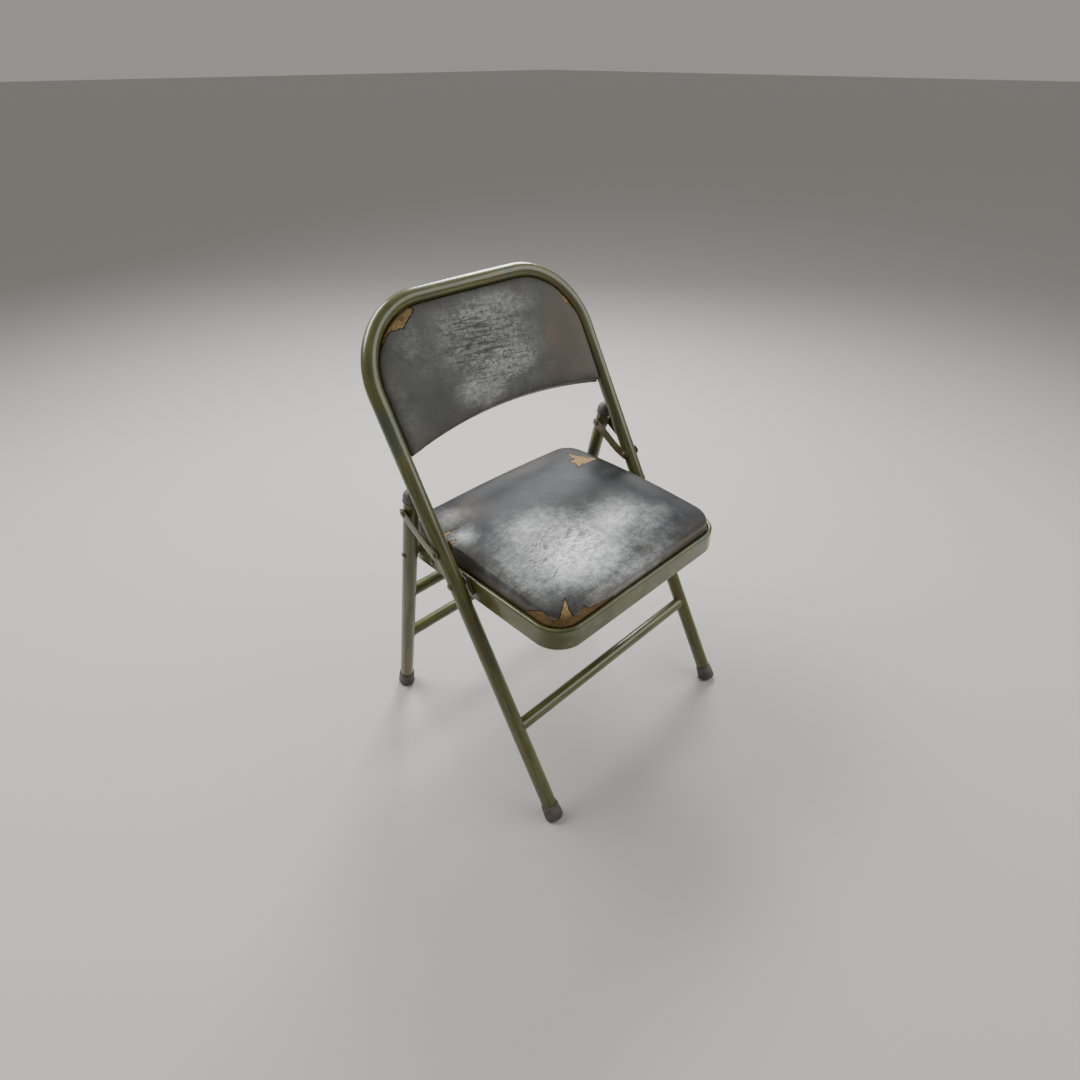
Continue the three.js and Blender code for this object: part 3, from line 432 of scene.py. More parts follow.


# Grey vinyl over fibre padding, steered by attributes of the pad: one is 1 where the vinyl is rubbed pale
# and shiny, with a painted highlight over it; ring is a painted shade round that; scuff where it is
# scratched, stain where it is brown, edge at the sides, and a painted highlight line along the front
# shoulder. tear is the distance into a tear in millimetres, flat a coordinate in the pad's own plane. The
# look's polish is how strongly the rubbed places shine.
def wornVinyl(name, look):
    material, tree = newMaterial(name)
    flat = attribute(tree, "flat", "Vector")
    wearAndSheen, ring, scuff, stain, edge, ridge, tear = [
        attribute(tree, key) for key in ("wearAndSheen", "ring", "scuff", "stain", "edge", "ridge", "tear")]

    clouds, broad, fine = noise(flat, 15, 4, 0.55), noise(flat, 30, 4, 0.55), noise(flat, 260, 7, 0.74)
    patchy = noise(stretched(flat, shift=(0.3, 0.5, 0.0)), 85, 5, 0.66)
    brushed = noise(placed(flat, turn=look["brush"], size=(7.0, 1, 1)), 420, 5, 0.68)
    warm = noise(stretched(flat, shift=(0.7, 0.2, 0.0)), 10, 3)

    brown = times(between(warm, 0.4, 0.62, 0.1, 0.6), edge)
    brown = most(brown, times(stain, between(clouds, 0.3, 0.6, 0.4, 0.9)))
    colour = mixed(between(clouds, 0.32, 0.68), look["dark"], look["mid"])
    colour = layered(colour, (fine, 0.4, 0.68, 0.16, look["pale"]))
    # painted shade: the ring darkens the vinyl round the rubbed middle's painted highlight
    colour = mixed(times(ring, 0.4), mixed(brown, colour, look["brown"]), look["ring"])
    # On the seat the side colour is a brown made lighter than the top: painted light that makes up for the
    # little lamp light the pad's sides get.
    colour = layered(colour, (edge, 0.66, 1.0, 0.85, look["side"]))

    # rubbed middle, worn pale and shiny with a painted highlight over it: its soft border is broken up by
    # noise at four sizes
    soft = wearAndSheen
    for pattern, swing in ((broad, 0.07), (patchy, 0.02), (fine, 0.015), (brushed, 0.02)):
        soft = plus(soft, between(pattern, 0.25, 0.75, -swing, swing))
    rubbed = maths("POWER", between(soft, 0.02, 1.0), 1.5)
    mottle = plus(plus(times(patchy, 0.36), times(fine, 0.32)), times(brushed, 0.32))
    # light colour of the rubbed middle: partly worn vinyl, partly a painted highlight
    light = mixed(between(mottle, 0.4, 0.6), look["wearAndSheenLow"], look["wearAndSheenHigh"])
    colour = mixed(times(rubbed, 0.92), colour, light)

    # dark bruises, scratches drawn out along a few directions, pits and single marks
    bruise = noise(stretched(flat, (0.7, 1, 1), (0.2, 0.9, 0.0)), 110, 6, 0.72)
    damage = times(between(bruise, 0.54, 0.6), between(scuff, 0.0, 1.0, 0.04, 0.6))
    for turn, size, length, cut, strength in look["scratches"]:
        lines = noise(placed(flat, turn=turn, size=(length, 1, 1)), size, 3, 0.62)
        damage = most(damage, times(between(lines, cut, cut + 0.06, 0.0, strength), scuff))
    pits = between(noise(flat, 190, 4, 0.6), 0.575, 0.62)
    damage = most(damage, times(pits, between(scuff, 0.1, 0.8, 0.1, 1.0)))
    damage = most(damage, times(marksOn(flat, look["marks"]), between(fine, 0.45, 0.6, 1.0, 0.35)))
    damage = times(damage, between(rubbed, 0.0, 0.5, 0.3, 1.0))
    colour = mixed(times(damage, 0.85), colour, look["scratch"])
    # painted highlight: a pale line along the front shoulder where the lamps would catch it
    colour = mixed(times(ridge, between(patchy, 0.3, 0.55, 0.35, 0.9)), colour, look["ridge"])

    # fibre under the vinyl, darker down the sides, and the dark broken line round each tear
    fibres = noise(flat, 330, 7, 0.72)
    fibre = mixed(between(fibres, 0.34, 0.64), (0.17, 0.105, 0.042), (0.48, 0.34, 0.165))
    fibre = layered(fibre, (noise(flat, 80, 4, 0.62), 0.5, 0.66, 0.7, (0.14, 0.082, 0.038)),
                    (edge, 0.6, 1.0, 0.6, (0.12, 0.07, 0.033)))
    depth = plus(tear, between(noise(flat, 520, 3, 0.6), 0.2, 0.8, -0.5, 0.5))
    torn = between(depth, -0.1, 0.15)
    lip = times(between(depth, -1.3, -0.4), between(depth, 1.0, 0.15))
    colour = mixed(times(lip, 0.92), mixed(torn, colour, fibre), (0.026, 0.016, 0.01))

    rough = maths("SUBTRACT", between(clouds, 0.3, 0.7, 0.42, 0.5), times(rubbed, 0.12))
    rough = plus(plus(rough, between(mottle, 0.4, 0.6, 0.05, -0.04)), times(damage, 0.15))
    rough = most(rough, times(torn, 0.92))
    polish = times(rubbed, between(torn, 0.0, 1.0, look["polish"], 0.0))
    polish = times(polish, between(damage, 0.0, 1.0, 1.0, 0.3))

    leather = add("ShaderNodeTexVoronoi", {"Vector": flat, "Scale": 620.0, "Randomness": 0.9},
                  feature="DISTANCE_TO_EDGE").outputs["Distance"]
    normal = None
    for height, strength, distance in (
            (between(leather, 0.0, 0.14), 0.08, 0.12), (noise(flat, 60, 5, 0.6), 0.25, 0.35),
            (mottle, 0.2, 0.3), (maths("SUBTRACT", 1.0, damage), 0.3, 0.25), (times(fibres, torn), 0.8, 1.2)):
        normal = bumped(height, strength, distance * mm, normal)
    surface(tree, {"Base Color": colour, "Roughness": rough, "Normal": normal, "Specular IOR Level": 0.14,
                   "Coat Weight": polish, "Coat Roughness": 0.3, "Coat Normal": normal})
    return material


enamel = oliveEnamel("olive enamel", 0.0), "frame_paint"
oldEnamel = oliveEnamel("browned enamel", 0.7), "frame_paint"
rubber, steel = (oldRubber(), "rubber"), (dullSteel(), "bare_steel")
print("finishes made")

# ---- front frame
mainTube = {"bendSteps": 40, "legSteps": 24, "barSteps": 12}


# A closed tube of the frame along a path that stays in the plane square to the normal.
def tubePiece(name, node, body, path, directions, normal, start=0.0):
    points = closedEnds(tubePoints(path, directions, normal, tubes["radius"], tubes["around"]))
    grain = tubeGrain(path, tubes["radius"], tubes["around"], start)
    grain = chain(grain[:1], grain, grain[-1:])
    dress(newPiece(name, [points], [grain]), enamel, body, node)


# Centre line of the bent tube in its own plane: straight, quarter circle, straight, and mirrored.
def mainTubePath():
    bend = tubes["bendRadius"]
    start = (corners("main_frame_tube")[0][2] + tubes["radius"] * sin(frontLean)) / cos(frontLean)
    corner = topAlong - bend
    leg = np.linspace(start, corner, mainTube["legSteps"], endpoint=False)
    turn = np.linspace(0, pi / 2, mainTube["bendSteps"])
    bar = np.linspace(-(legX - bend), 0, mainTube["barSteps"])[1:]
    x = chain(np.full(len(leg), -legX), -legX + bend * (1 - np.cos(turn)), bar)
    along = chain(leg, corner + bend * np.sin(turn), np.full(len(bar), topAlong))
    slope = chain(np.full(len(leg), pi / 2), pi / 2 - turn, np.zeros(len(bar)))
    x = chain(x, -x[-2::-1])
    along = chain(along, along[-2::-1])
    slope = chain(slope, -slope[-2::-1])
    directions = np.cos(slope)[:, None] * [1, 0, 0] + np.sin(slope)[:, None] * frontUp
    return inFrame(x, along, 0.0), directions


tubePiece("mainFrameTube", "main_frame_tube", "front_frame", *mainTubePath(), rearward)

# ---- cross bars, with a weld bead at each end
crossBar = {"sides": 48, "steps": 16, "bead": 1.25 * mm, "beadSides": 10, "ripples": 26, "ripple": 0.14,
            "sunk": 0.2 * mm}


# A bar's end follows the leg it meets: x = leg x - sqrt(leg radius^2 - sideways offset^2).
def crossBarPiece(name, node, up, body):
    centre = middle(node)
    across = np.cross([1, 0, 0], up)
    angle = np.linspace(0, 2 * pi, crossBar["sides"], endpoint=False)
    radius, leg = tubes["barRadius"], tubes["radius"] - crossBar["sunk"]
    around = np.cos(angle)[:, None] * up + np.sin(angle)[:, None] * across
    reach = legX - np.sqrt(leg ** 2 - (radius * np.sin(angle)) ** 2)
    x = np.linspace(-1, 1, crossBar["steps"])[:, None] * reach[None]
    grids = [closedEnds(centre + x[..., None] * [1, 0, 0] + (radius * around)[None])]
    run = chain(x[:1], x, x[-1:]) * grainSqueeze + centre[2]
    section = np.broadcast_to((radius * around)[None], run.shape + (3,))
    grains = [beside(section[..., 1], section[..., 2], run)]
    for label, side in sides:
        ring = centre + side * reach[:, None] * [1, 0, 0] + radius * around
        turn = np.linspace(0, 2 * pi, crossBar["beadSides"], endpoint=False)
        size = crossBar["bead"] * (1 + crossBar["ripple"] * np.sin(crossBar["ripples"] * angle))
        offset = np.cos(turn)[None, :, None] * around[:, None, :] + np.sin(turn)[None, :, None] * [1, 0, 0]
        bead = ring[:, None, :] + size[:, None, None] * offset
        grids.append(chain(bead, bead[:1]))
        grains.append(grids[-1])
    dress(newPiece(name, grids, grains), enamel, body, node)


crossBarPiece("frontCrossBar", "front_cross_bar", frontUp, "front_frame")
crossBarPiece("rearUpperBar", "rear_upper_bar", rearUp, "rear_frame")
crossBarPiece("rearLowerBar", "rear_lower_bar", rearUp, "rear_frame")

# ---- rear legs, feet and caps
rearLeg = {"steps": 24, "grainShift": 0.5}
foot = {"soleRadius": 16 * mm, "topRadius": 14.5 * mm, "lip": 0.9 * mm, "soleRounding": 6.5 * mm,
        "wornEdge": 0.5 * mm, "socket": 3 * mm, "bevel": 0.5 * mm,
        "front": (27.5 * mm, -1.5 * mm), "rear": (34 * mm, -0.5 * mm)}
cap = {"radius": 13.8 * mm, "skirt": 5 * mm, "dome": 13.5 * mm, "domeStart": 3.4 * mm, "rim": 0.5 * mm,
       "rimHeight": 2 * mm, "rimFrom": 0.8 * mm, "rimTo": 1.2 * mm, "floor": 0.5 * mm, "mouth": 0.4 * mm}
rubberBore = tubes["radius"] + 0.1 * mm
# height of the rear legs' centre line at their upper ends, which are cut square
rearTop = corners("left_rear_leg")[1][2] - tubes["radius"] * sin(rearLean)


# Rubber foot: turned about the leg, with a rounded end square to it. What reaches below the floor slides
# up along the leg to a soft floor, z = (z + sqrt(z^2 + wornEdge^2)) / 2, which leaves a level worn sole.
def footPiece(name, node, base, up, body, reach):
    top, end = reach
    lip, rounding = foot["lip"], foot["soleRounding"]
    profile = profileRows([
        (0, end), (foot["soleRadius"] - rounding, end, "line", 14),
        (foot["soleRadius"], end + rounding, "radius", 16), (foot["topRadius"], top - lip, "line", 16),
        (foot["topRadius"] - lip, top, "height", 6), (rubberBore, top - foot["bevel"], "radius", 4),
        (rubberBore, top - foot["socket"]), (0, top - foot["socket"]),
    ])
    points = turnedPoints(profile, base, up, 64)
    z = points[..., 2]
    lifted = (z + np.sqrt(z ** 2 + foot["wornEdge"] ** 2)) / 2
    points += ((lifted - z) / up[2])[..., None] * up
    dress(newPiece(name, [points], sharpAngle=60), rubber, body, node)


def capPiece(name, node, base, up):
    radius, skirt, bottom = cap["radius"], cap["skirt"], cap["floor"]
    profile = profileRows([
        (0, bottom), (rubberBore, bottom), (rubberBore, bottom - skirt),
        (tubes["radius"] + cap["mouth"], -skirt), (radius + cap["rim"], cap["rimFrom"] - skirt, "radius", 6),
        (radius + cap["rim"], cap["rimTo"] - skirt), (radius, cap["rimHeight"] - skirt, "height", 6),
        (radius, cap["domeStart"]), (0, cap["domeStart"] + cap["dome"], "height", 16),
    ])
    dress(newPiece(name, [turnedPoints(profile, base, up, 56)], sharpAngle=50), rubber, "rear_frame", node)


for label, side in sides:
    start = corners(label + "_rear_leg")[0][2] - tubes["radius"] * sin(rearLean)
    heights = np.linspace(start, rearTop, rearLeg["steps"])
    path = beside(np.full(len(heights), side * legX), rearFootY + heights * tan(rearLean), heights)
    tubePiece(label + "RearLeg", label + "_rear_leg", "rear_frame", path, np.broadcast_to(rearUp, path.shape),
              np.cross(rearUp, [1, 0, 0]), rearLeg["grainShift"] * side)

for label, side in sides:
    footPiece(label + "FrontFoot", "front_" + label + "_foot", [side * legX, frontFootY, 0], frontUp,
              "front_frame", foot["front"])
    footPiece(label + "RearFoot", "rear_" + label + "_foot", [side * legX, rearFootY, 0], rearUp,
              "rear_frame", foot["rear"])
    capPiece(label + "Cap", "rear_" + label + "_cap",
             [side * legX, rearFootY + rearTop * tan(rearLean), rearTop], rearUp)
print("tubes, feet and caps made")

# ---- links
link = {"halfWidth": 8.6 * mm, "thickness": 1.8 * mm, "kneeShare": 0.27, "kneeOffset": 3.5 * mm,
        "edge": 0.55 * mm, "boss": 4.7 * mm, "bossFlare": 0.8 * mm, "bossTop": 0.5 * mm, "bossSunk": 0.4 * mm,
        "bendBefore": 0.5, "bendAfter": 0.2, "bendSteps": 40, "endSteps": 30, "around": 220}


# Outline of a strap of even width round a bent centre line: the line moved out to either side by the
# half width, joined by half circles at its ends.
def strapOutline(start, knee, end):
    share = np.linspace(0, 1, link["bendSteps"])[:, None]
    near, far = knee + (start - knee) * link["bendBefore"], knee + (end - knee) * link["bendAfter"]
    bend = near * (1 - share) ** 2 + 2 * knee * share * (1 - share) + far * share ** 2
    line = chain(start[None], bend, end[None])
    step = np.gradient(line, axis=0)
    step[0], step[-1] = line[1] - line[0], line[-1] - line[-2]
    step /= np.linalg.norm(step, axis=1, keepdims=True)
    normal = beside(-step[:, 1], step[:, 0])
    half = np.linspace(pi / 2, -pi / 2, link["endSteps"])[1:-1]

    def roundEnd(centre, ahead, sideways):
        return centre + link["halfWidth"] * (np.cos(half)[:, None] * ahead + np.sin(half)[:, None] * sideways)

    outline = chain(
        line + link["halfWidth"] * normal,
        roundEnd(line[-1], step[-1], normal[-1]),
        (line - link["halfWidth"] * normal)[::-1],
        roundEnd(line[0], -step[0], -normal[0]),
    )
    return evenly(outline, link["around"])


# A strap with a boss at each pivot that reaches from the tube's face into the strap.
def linkPiece(label, face, side):
    node = label + "_" + face + "_link"
    away = 1 if face == "outer" else -1
    xOut = reachOf(node)[1 + (face == "outer")]
    xIn = xOut - away * link["thickness"]
    start, end = linkLow[1:], linkHigh[1:]
    rise = (end - start) / np.linalg.norm(end - start)
    knee = start + link["kneeShare"] * (end - start) + link["kneeOffset"] * np.array([rise[1], -rise[0]])
    grids = [platePoints(strapOutline(start, knee, end), side * xIn, side * xOut, link["edge"])]
    tubeFace = legX + away * tubes["radius"]
    gap = abs(xIn - tubeFace)
    profile = [(0, 0), (link["boss"] + link["bossFlare"], 0), (link["boss"], gap * 0.5),
               (link["boss"] + link["bossTop"], gap + link["bossSunk"]), (0, gap + link["bossSunk"])]
    for pivot in (linkLow, linkHigh):
        base = [side * tubeFace, pivot[1], pivot[2]]
        grids.append(turnedPoints(profile, base, [side * away, 0, 0], 32))
    dress(newPiece(label + face.capitalize() + "Link", grids), oldEnamel, "links", node)


for label, side in sides:
    for face in ("outer", "inner"):
        linkPiece(label, face, side)

# ---- rivets, spacers and screws
rivet = {"shank": 2.9 * mm, "head": 5.4 * mm, "height": 2.4 * mm, "lowHead": 6.9 * mm, "lowHeight": 0.9 * mm,
         "lowEdge": 0.4 * mm, "lowShoulder": 0.8 * mm, "lowBevel": 0.5 * mm}
domedHead = {"edgeShare": 0.16, "footShare": 0.985, "steps": 12}
bracketRivet = {"shank": 2.4 * mm, "head": 4.6 * mm, "height": 1.9 * mm}
spacer = {"play": 0.15 * mm, "bevel": 0.4 * mm}
screw = {"shank": 2.2 * mm, "head": 4.6 * mm, "height": 2.3 * mm, "recess": 1.3 * mm, "arm": 0.75 * mm,
         "flat": 2.7 * mm, "armReach": 2.4 * mm, "armSlope": 0.06 * mm, "endSlope": 0.08 * mm,
         "rim": 0.3 * mm, "point": 1.5 * mm}


# Domed head: a short straight edge, a shoulder and a low crown, as (radius, height) rows.
def headProfile(radius, height):
    edge = height * domedHead["edgeShare"]
    angle = np.linspace(0, pi / 2, domedHead["steps"])
    crown = beside(radius * np.cos(angle), edge + (height - edge) * np.sin(angle))
    return chain([[radius * domedHead["footShare"], 0.0]], crown)


def rivetPiece(name, node, side, body, size, lowHead=False):
    centre, inner, outer = reachOf(node)
    outerHead = headProfile(size["head"], size["height"])
    firstHead, firstHeight = outerHead, size["height"]
    if lowHead:
        wide, firstHeight = size["lowHead"], size["lowHeight"]
        firstHead = np.array([[wide, 0], [wide, size["lowEdge"]],
                              [wide - size["lowBevel"], size["lowShoulder"]], [0, firstHeight]])
    innerFace, outerFace = inner + firstHeight, outer - size["height"]
    profile = chain(
        beside(firstHead[::-1, 0], innerFace - firstHead[::-1, 1]),
        [[size["shank"], innerFace], [size["shank"], outerFace]],
        beside(outerHead[:, 0], outerFace + outerHead[:, 1]),
    )
    grid = turnedPoints(profile, [0, centre[1], centre[2]], [side, 0, 0], 40)
    dress(newPiece(name, [grid], sharpAngle=50), oldEnamel, body, node)


def spacerPiece(name, node, side, body):
    centre, inner, outer = reachOf(node)
    low, high = corners(node)
    radius, bore, bevel = (high[2] - low[2]) / 2, rivet["shank"] + spacer["play"], spacer["bevel"]
    profile = [(bore, inner), (radius - bevel, inner), (radius, inner + bevel), (radius, outer - bevel),
               (radius - bevel, outer), (bore, outer)]
    grid = turnedPoints(profile, [0, centre[1], centre[2]], [side, 0, 0], 40)
    dress(newPiece(name, [grid], closeRows=True), steel, body, node)


for label, side in sides:
    for pivot, body, lowHead in (("link_front", "front_frame", False), ("link_rear", "rear_frame", False),
                                 ("seat_pivot", "front_frame", True), ("leg_pivot", "rear_frame", True)):
        name = label + pivot.title().replace("_", "")
        rivetPiece(name + "Rivet", label + "_" + pivot + "_rivet", side, body, rivet, lowHead)
        if lowHead:
            spacerPiece(name + "Spacer", label + "_" + pivot + "_spacer", side, body)
    for number in ("1", "2"):
        rivetPiece(label + "BracketRivet" + number, label + "_bracket_rivet_" + number, side, "seat",
                   bracketRivet)


# Screw with a cross recess: every point of the head inside one of the two arms is sunk by the recess.
def screwPiece(name, node, base, axis, body, length):
    grid = turnedPoints(profileRows([
        (0, screw["height"]), (screw["flat"], screw["height"], "line", 12),
        (screw["head"], screw["rim"], "radius", 9), (screw["head"], 0), (screw["shank"], 0),
        (screw["shank"], -length), (0, -length - screw["point"]),
    ]), [0, 0, 0], [0, 0, 1], 96)
    x, y, z = grid[..., 0], grid[..., 1], grid[..., 2]
    narrow = (np.minimum(np.abs(x), np.abs(y)) - screw["arm"]) / screw["armSlope"]
    long = (np.maximum(np.abs(x), np.abs(y)) - screw["armReach"]) / screw["endSlope"]
    inside = (z > screw["height"] * 0.5) / (1 + np.exp(narrow)) / (1 + np.exp(long))
    grid[..., 2] = z - inside * screw["recess"]
    turn = Vector((0, 0, 1)).rotation_difference(Vector(axis)).to_matrix()
    dress(newPiece(name, [grid @ np.array(turn).T + np.asarray(base)], sharpAngle=30), steel, body, node)


seatScrew = {"seat": 2.4 * mm, "length": 3.5 * mm}
for number in range(1, 5):
    node = "seat_screw_%d" % number
    x, y, _ = middle(node)
    base = [x, y, corners(node)[0][2] + seatScrew["seat"]]
    screwPiece("seatScrew%d" % number, node, base, [0, 0, -1], "seat", seatScrew["length"])
print("links, rivets and screws made")

# ---- seat pan
pan = {"cornerRadius": 48 * mm, "rimRadius": 4 * mm, "rimWidth": 6.8 * mm, "rimInner": 1.8 * mm,
       "wall": 1.1 * mm, "floorDrop": 6 * mm, "hemWidth": 8 * mm, "hemRadius": 1.0 * mm, "hemOut": 0.35 * mm,
       "tightestCorner": 12 * mm, "cornerSteps": 28, "sideSteps": 14, "soft": 2 * mm, "level": 90 * mm}
panLow, panHigh = corners("seat_pan")
panRim = panHigh[2]
panFloor = panRim - pan["floorDrop"]


# Rounded rectangle of the pan, drawn in by an inset: a quarter circle at each corner and evenly spaced
# points along each side.
def seatOutline(inset):
    low, high = panLow[:2] + inset, panHigh[:2] - inset
    radius = max(pan["cornerRadius"] - inset, pan["tightestCorner"])
    outline = []
    for quarterTurn, corner in enumerate(((high[0], high[1]), (low[0], high[1]), (low[0], low[1]),
                                          (high[0], low[1]))):
        inwards = np.array([-1 if corner[0] > 0 else 1, -1 if corner[1] > 0 else 1])
        centre = np.array(corner) + inwards * radius
        angle = (quarterTurn + np.linspace(0, 1, pan["cornerSteps"])) * pi / 2
        outline.append(centre + radius * beside(np.cos(angle), np.sin(angle)))
    joined = []
    for arc, following in zip(outline, outline[1:] + outline[:1]):
        share = np.linspace(0, 1, pan["sideSteps"] + 2)[1:-1, None]
        joined += [arc, arc[-1] + share * (following[0] - arc[-1])]
    return np.concatenate(joined)


# Rings of the seat's outline, one for each (inset, height) row; an inset of None is a pole.
def seatRings(rows):
    centre = (panLow[:2] + panHigh[:2]) / 2
    rings = []
    for inset, height in rows:
        ring = np.zeros_like(seatOutline(0)) + centre if inset is None else seatOutline(inset)
        rings.append(np.concatenate([ring, np.full((len(ring), 1), height)], axis=-1))
    return np.stack(rings)


# Down the tray inside, over the rim, down the skirt, round the hem and up inside to the floor's underside.
def panProfile():
    bottom, wall, hem, hemWidth = panLow[2], pan["wall"], pan["hemRadius"], pan["hemWidth"]
    rim, width, inner, soft = pan["rimRadius"], pan["rimWidth"], pan["rimInner"], pan["soft"]
    under = panFloor - wall
    skirt = [(0, share * bottom + (1 - share) * (panRim - rim)) for share in (0.1, 0.5, 0.85)]
    return profileRows([
        (None, panFloor), (pan["level"], panFloor), (width + soft, panFloor),
        (width, panFloor + soft, "radius", 4),
        (width, panRim - inner), (width - inner, panRim, "height", 6),
        (rim, panRim), (0, panRim - rim, "radius", 9), *skirt, (0, bottom + 4 * hem),
        (-pan["hemOut"], bottom + 1.5 * hem), (hem, bottom, "height", 7),
        (hemWidth - hem, bottom), (hemWidth, bottom + hem / 2, "radius", 4),
        (hemWidth - hem, bottom + wall, "height", 4),
        (wall + soft, bottom + wall), (wall, bottom + wall + soft, "radius", 4),
        (wall, under - 2 * soft), (wall + 2 * soft, under, "height", 5), (pan["level"], under), (None, under),
    ])


panGrain = {"along": 0.12, "down": 0.09, "levelRows": [0, 1, 2, -3, -2, -1]}
points = seatRings(panProfile())
run = np.linalg.norm(np.diff(points, axis=1, append=points[:, :1]), axis=-1).cumsum(axis=1)
down = np.linspace(0, panGrain["down"], len(points))[:, None] + 0 * run
grain = beside(run * panGrain["along"], down, 0 * run)
# the level rows of both faces have bands across the seat
grain[panGrain["levelRows"]] = points[panGrain["levelRows"]] * sheetGrain
dress(newPiece("seatPan", [points], [grain], sharpAngle=50), enamel, "seat", "seat_pan")

# ---- seat brackets
bracket = {"frontRadius": 10.5 * mm, "rearRadius": 12.5 * mm, "noseReach": 9 * mm, "noseDrop": 18 * mm,
           "noseRadius": 10 * mm, "edge": 0.5 * mm, "slotFrom": (1.4 * mm, -0.2 * mm),
           "slotTo": (4.0 * mm, 9.4 * mm), "slotRadius": 5 * mm, "thickness": 2.2 * mm, "boss": 5.5 * mm}
bossProfile = [(0, -2 * mm), (bracket["boss"] + 1 * mm, -1.8 * mm), (bracket["boss"], -0.6 * mm),
               (bracket["boss"] + 0.8 * mm, 0.6 * mm), (0, 0.6 * mm)]


# Plate from the nose past the seat pivot to the leg pivot. Its faces run from the slot's outline to the
# plate's own, matched by the angle at which the middle of the slot sees them.
def bracketPiece(label, side):
    node = label + "_seat_bracket"
    outer = reachOf(node)[2]
    inner = outer - bracket["thickness"]
    pivot = seatPivot[1:]
    nose = pivot - [bracket["noseReach"], bracket["noseDrop"]]
    slotEnds = [legPivot[1:] + bracket["slotFrom"], legPivot[1:] + bracket["slotTo"]]
    centre = (slotEnds[0] + slotEnds[1]) / 2
    outline = roundCircles([nose, pivot, centre, legPivot[1:]],
                           [bracket["noseRadius"], bracket["frontRadius"], bracket["rearRadius"],
                            bracket["noseRadius"]])
    slot = roundCircles(slotEnds, [bracket["slotRadius"]] * 2, 1200) - centre
    seen = np.arctan2(slot[:, 1], slot[:, 0])
    order = np.argsort(seen)
    offset = outline - centre
    angle = np.arctan2(offset[:, 1], offset[:, 0])
    reach = np.interp(angle, seen[order], np.linalg.norm(slot, axis=1)[order], period=2 * pi)
    hole = centre + reach[:, None] * beside(np.cos(angle), np.sin(angle))
    plate = platePoints(outline, side * inner, side * outer, bracket["edge"], hole)
    dress(newPiece(label + "SeatBracket", [plate], closeRows=True), enamel, "seat", node)
    bosses = []
    for number in ("1", "2"):
        _, y, z = middle(label + "_bracket_rivet_" + number)
        bosses.append(turnedPoints(bossProfile, [side * inner, y, z], [side, 0, 0], 32))
    dress(newPiece(label + "BracketBosses", bosses), enamel, "seat")


for label, side in sides:
    bracketPiece(label, side)
print("seat pan and brackets made")

# ---- backrest shell
back = {"cornerAlong": topAlong - 225.5 * mm, "archRise": 25.5 * mm, "bow": 17 * mm, "shellDepth": 8.8 * mm,
        "shellThickness": 1.0 * mm, "padFront": -12 * mm, "padBack": 8.5 * mm, "tubeGap": 0.35 * mm,
        "lowerInset": 1.5 * mm, "shellSteps": (120, 64), "padSteps": (160, 90), "screwOut": 0.2 * mm,
        "screwLength": 3 * mm}


# How far a panel is set back: most in the middle of its lower edge, nothing at the sides and the top.
def bowAt(x, along):
    up = np.clip((along - back["cornerAlong"]) / (topAlong - back["cornerAlong"]), 0, 1)
    return back["bow"] * (1 - (x / legX) ** 2) * (1 - up)


# Lower edge: a circle's arc that rises by archRise in the middle.
def lowerEdge(x, lift):
    chord = legX - tubes["radius"]
    radius = (chord ** 2 + back["archRise"] ** 2) / (2 * back["archRise"])
    return back["cornerAlong"] + back["archRise"] + lift - radius + np.sqrt(radius ** 2 - x ** 2)


# Upper edge: the inside of the bent tube, straight in the middle and a quarter circle at each side.
def upperEdge(x, inset):
    bend = tubes["bendRadius"] - inset
    beyond = np.clip(np.abs(x) - (legX - tubes["bendRadius"]), 0, bend)
    return topAlong - tubes["bendRadius"] + np.sqrt(np.maximum(bend ** 2 - beyond ** 2, 0))


# Slab over the panel's outline: rows run up it, and each row goes across the front face and returns
# across the rear face. Steps are closest at the borders; depths come from (x, along, distance to edge).
def panelPoints(inset, lift, frontDepth, rearDepth, steps):
    x = (legX - inset) * np.sin(np.linspace(-pi / 2, pi / 2, steps[0]))
    up = (1 - np.cos(np.linspace(0, pi, steps[1]))) / 2
    low, high = lowerEdge(x, lift), upperEdge(x, inset)
    along = low[None] + up[:, None] * (high - low)[None]
    x = np.broadcast_to(x[None], along.shape)
    flat = beside(x, along)
    border = chain(flat[0], flat[:, -1], flat[-1, ::-1], flat[::-1, 0])
    edge = np.sqrt(((flat[:, :, None] - border[None, None, ::3]) ** 2).sum(-1)).min(axis=-1)
    edge[0] = edge[-1] = 0
    edge[:, 0] = edge[:, -1] = 0
    bow = bowAt(x, along)
    front = inFrame(x, along, frontDepth(edge) + bow)
    rear = inFrame(x, along, rearDepth(edge) + bow)
    return np.concatenate([front, rear[:, ::-1]], axis=1)


# A thin sheet: both faces meet in the middle of its thickness at the border.
def sheetRows(grid):
    half = grid.shape[1] // 2
    front, rear = grid[:, :half], grid[:, half:][:, ::-1]
    centre = (front + rear) / 2
    closed = np.concatenate([centre, centre[:, ::-1]], axis=1)
    return chain(closed[:1], grid, closed[-1:])


# In the frame's plane: x, along and depth of points.
def toFrame(points):
    offset = points - [0, frontFootY, 0]
    return beside(offset[..., 0], offset @ frontUp, offset @ rearward)


shellRear = back["shellDepth"] + back["shellThickness"]
shellInset = np.sqrt((tubes["radius"] + back["tubeGap"]) ** 2 - back["shellDepth"] ** 2)
sheet = sheetRows(panelPoints(shellInset, 0.0, lambda edge: back["shellDepth"], lambda edge: shellRear,
                              back["shellSteps"]))
dress(newPiece("backShell", [sheet], [sheet * sheetGrain], sharpAngle=50), enamel, "front_frame",
      "back_shell")

for number in range(1, 5):
    node = "back_screw_%d" % number
    x, along, _ = toFrame(middle(node))
    base = inFrame(x, along, shellRear + bowAt(x, along) + back["screwOut"])
    screwPiece("backScrew%d" % number, node, base, rearward, "front_frame", back["screwLength"])

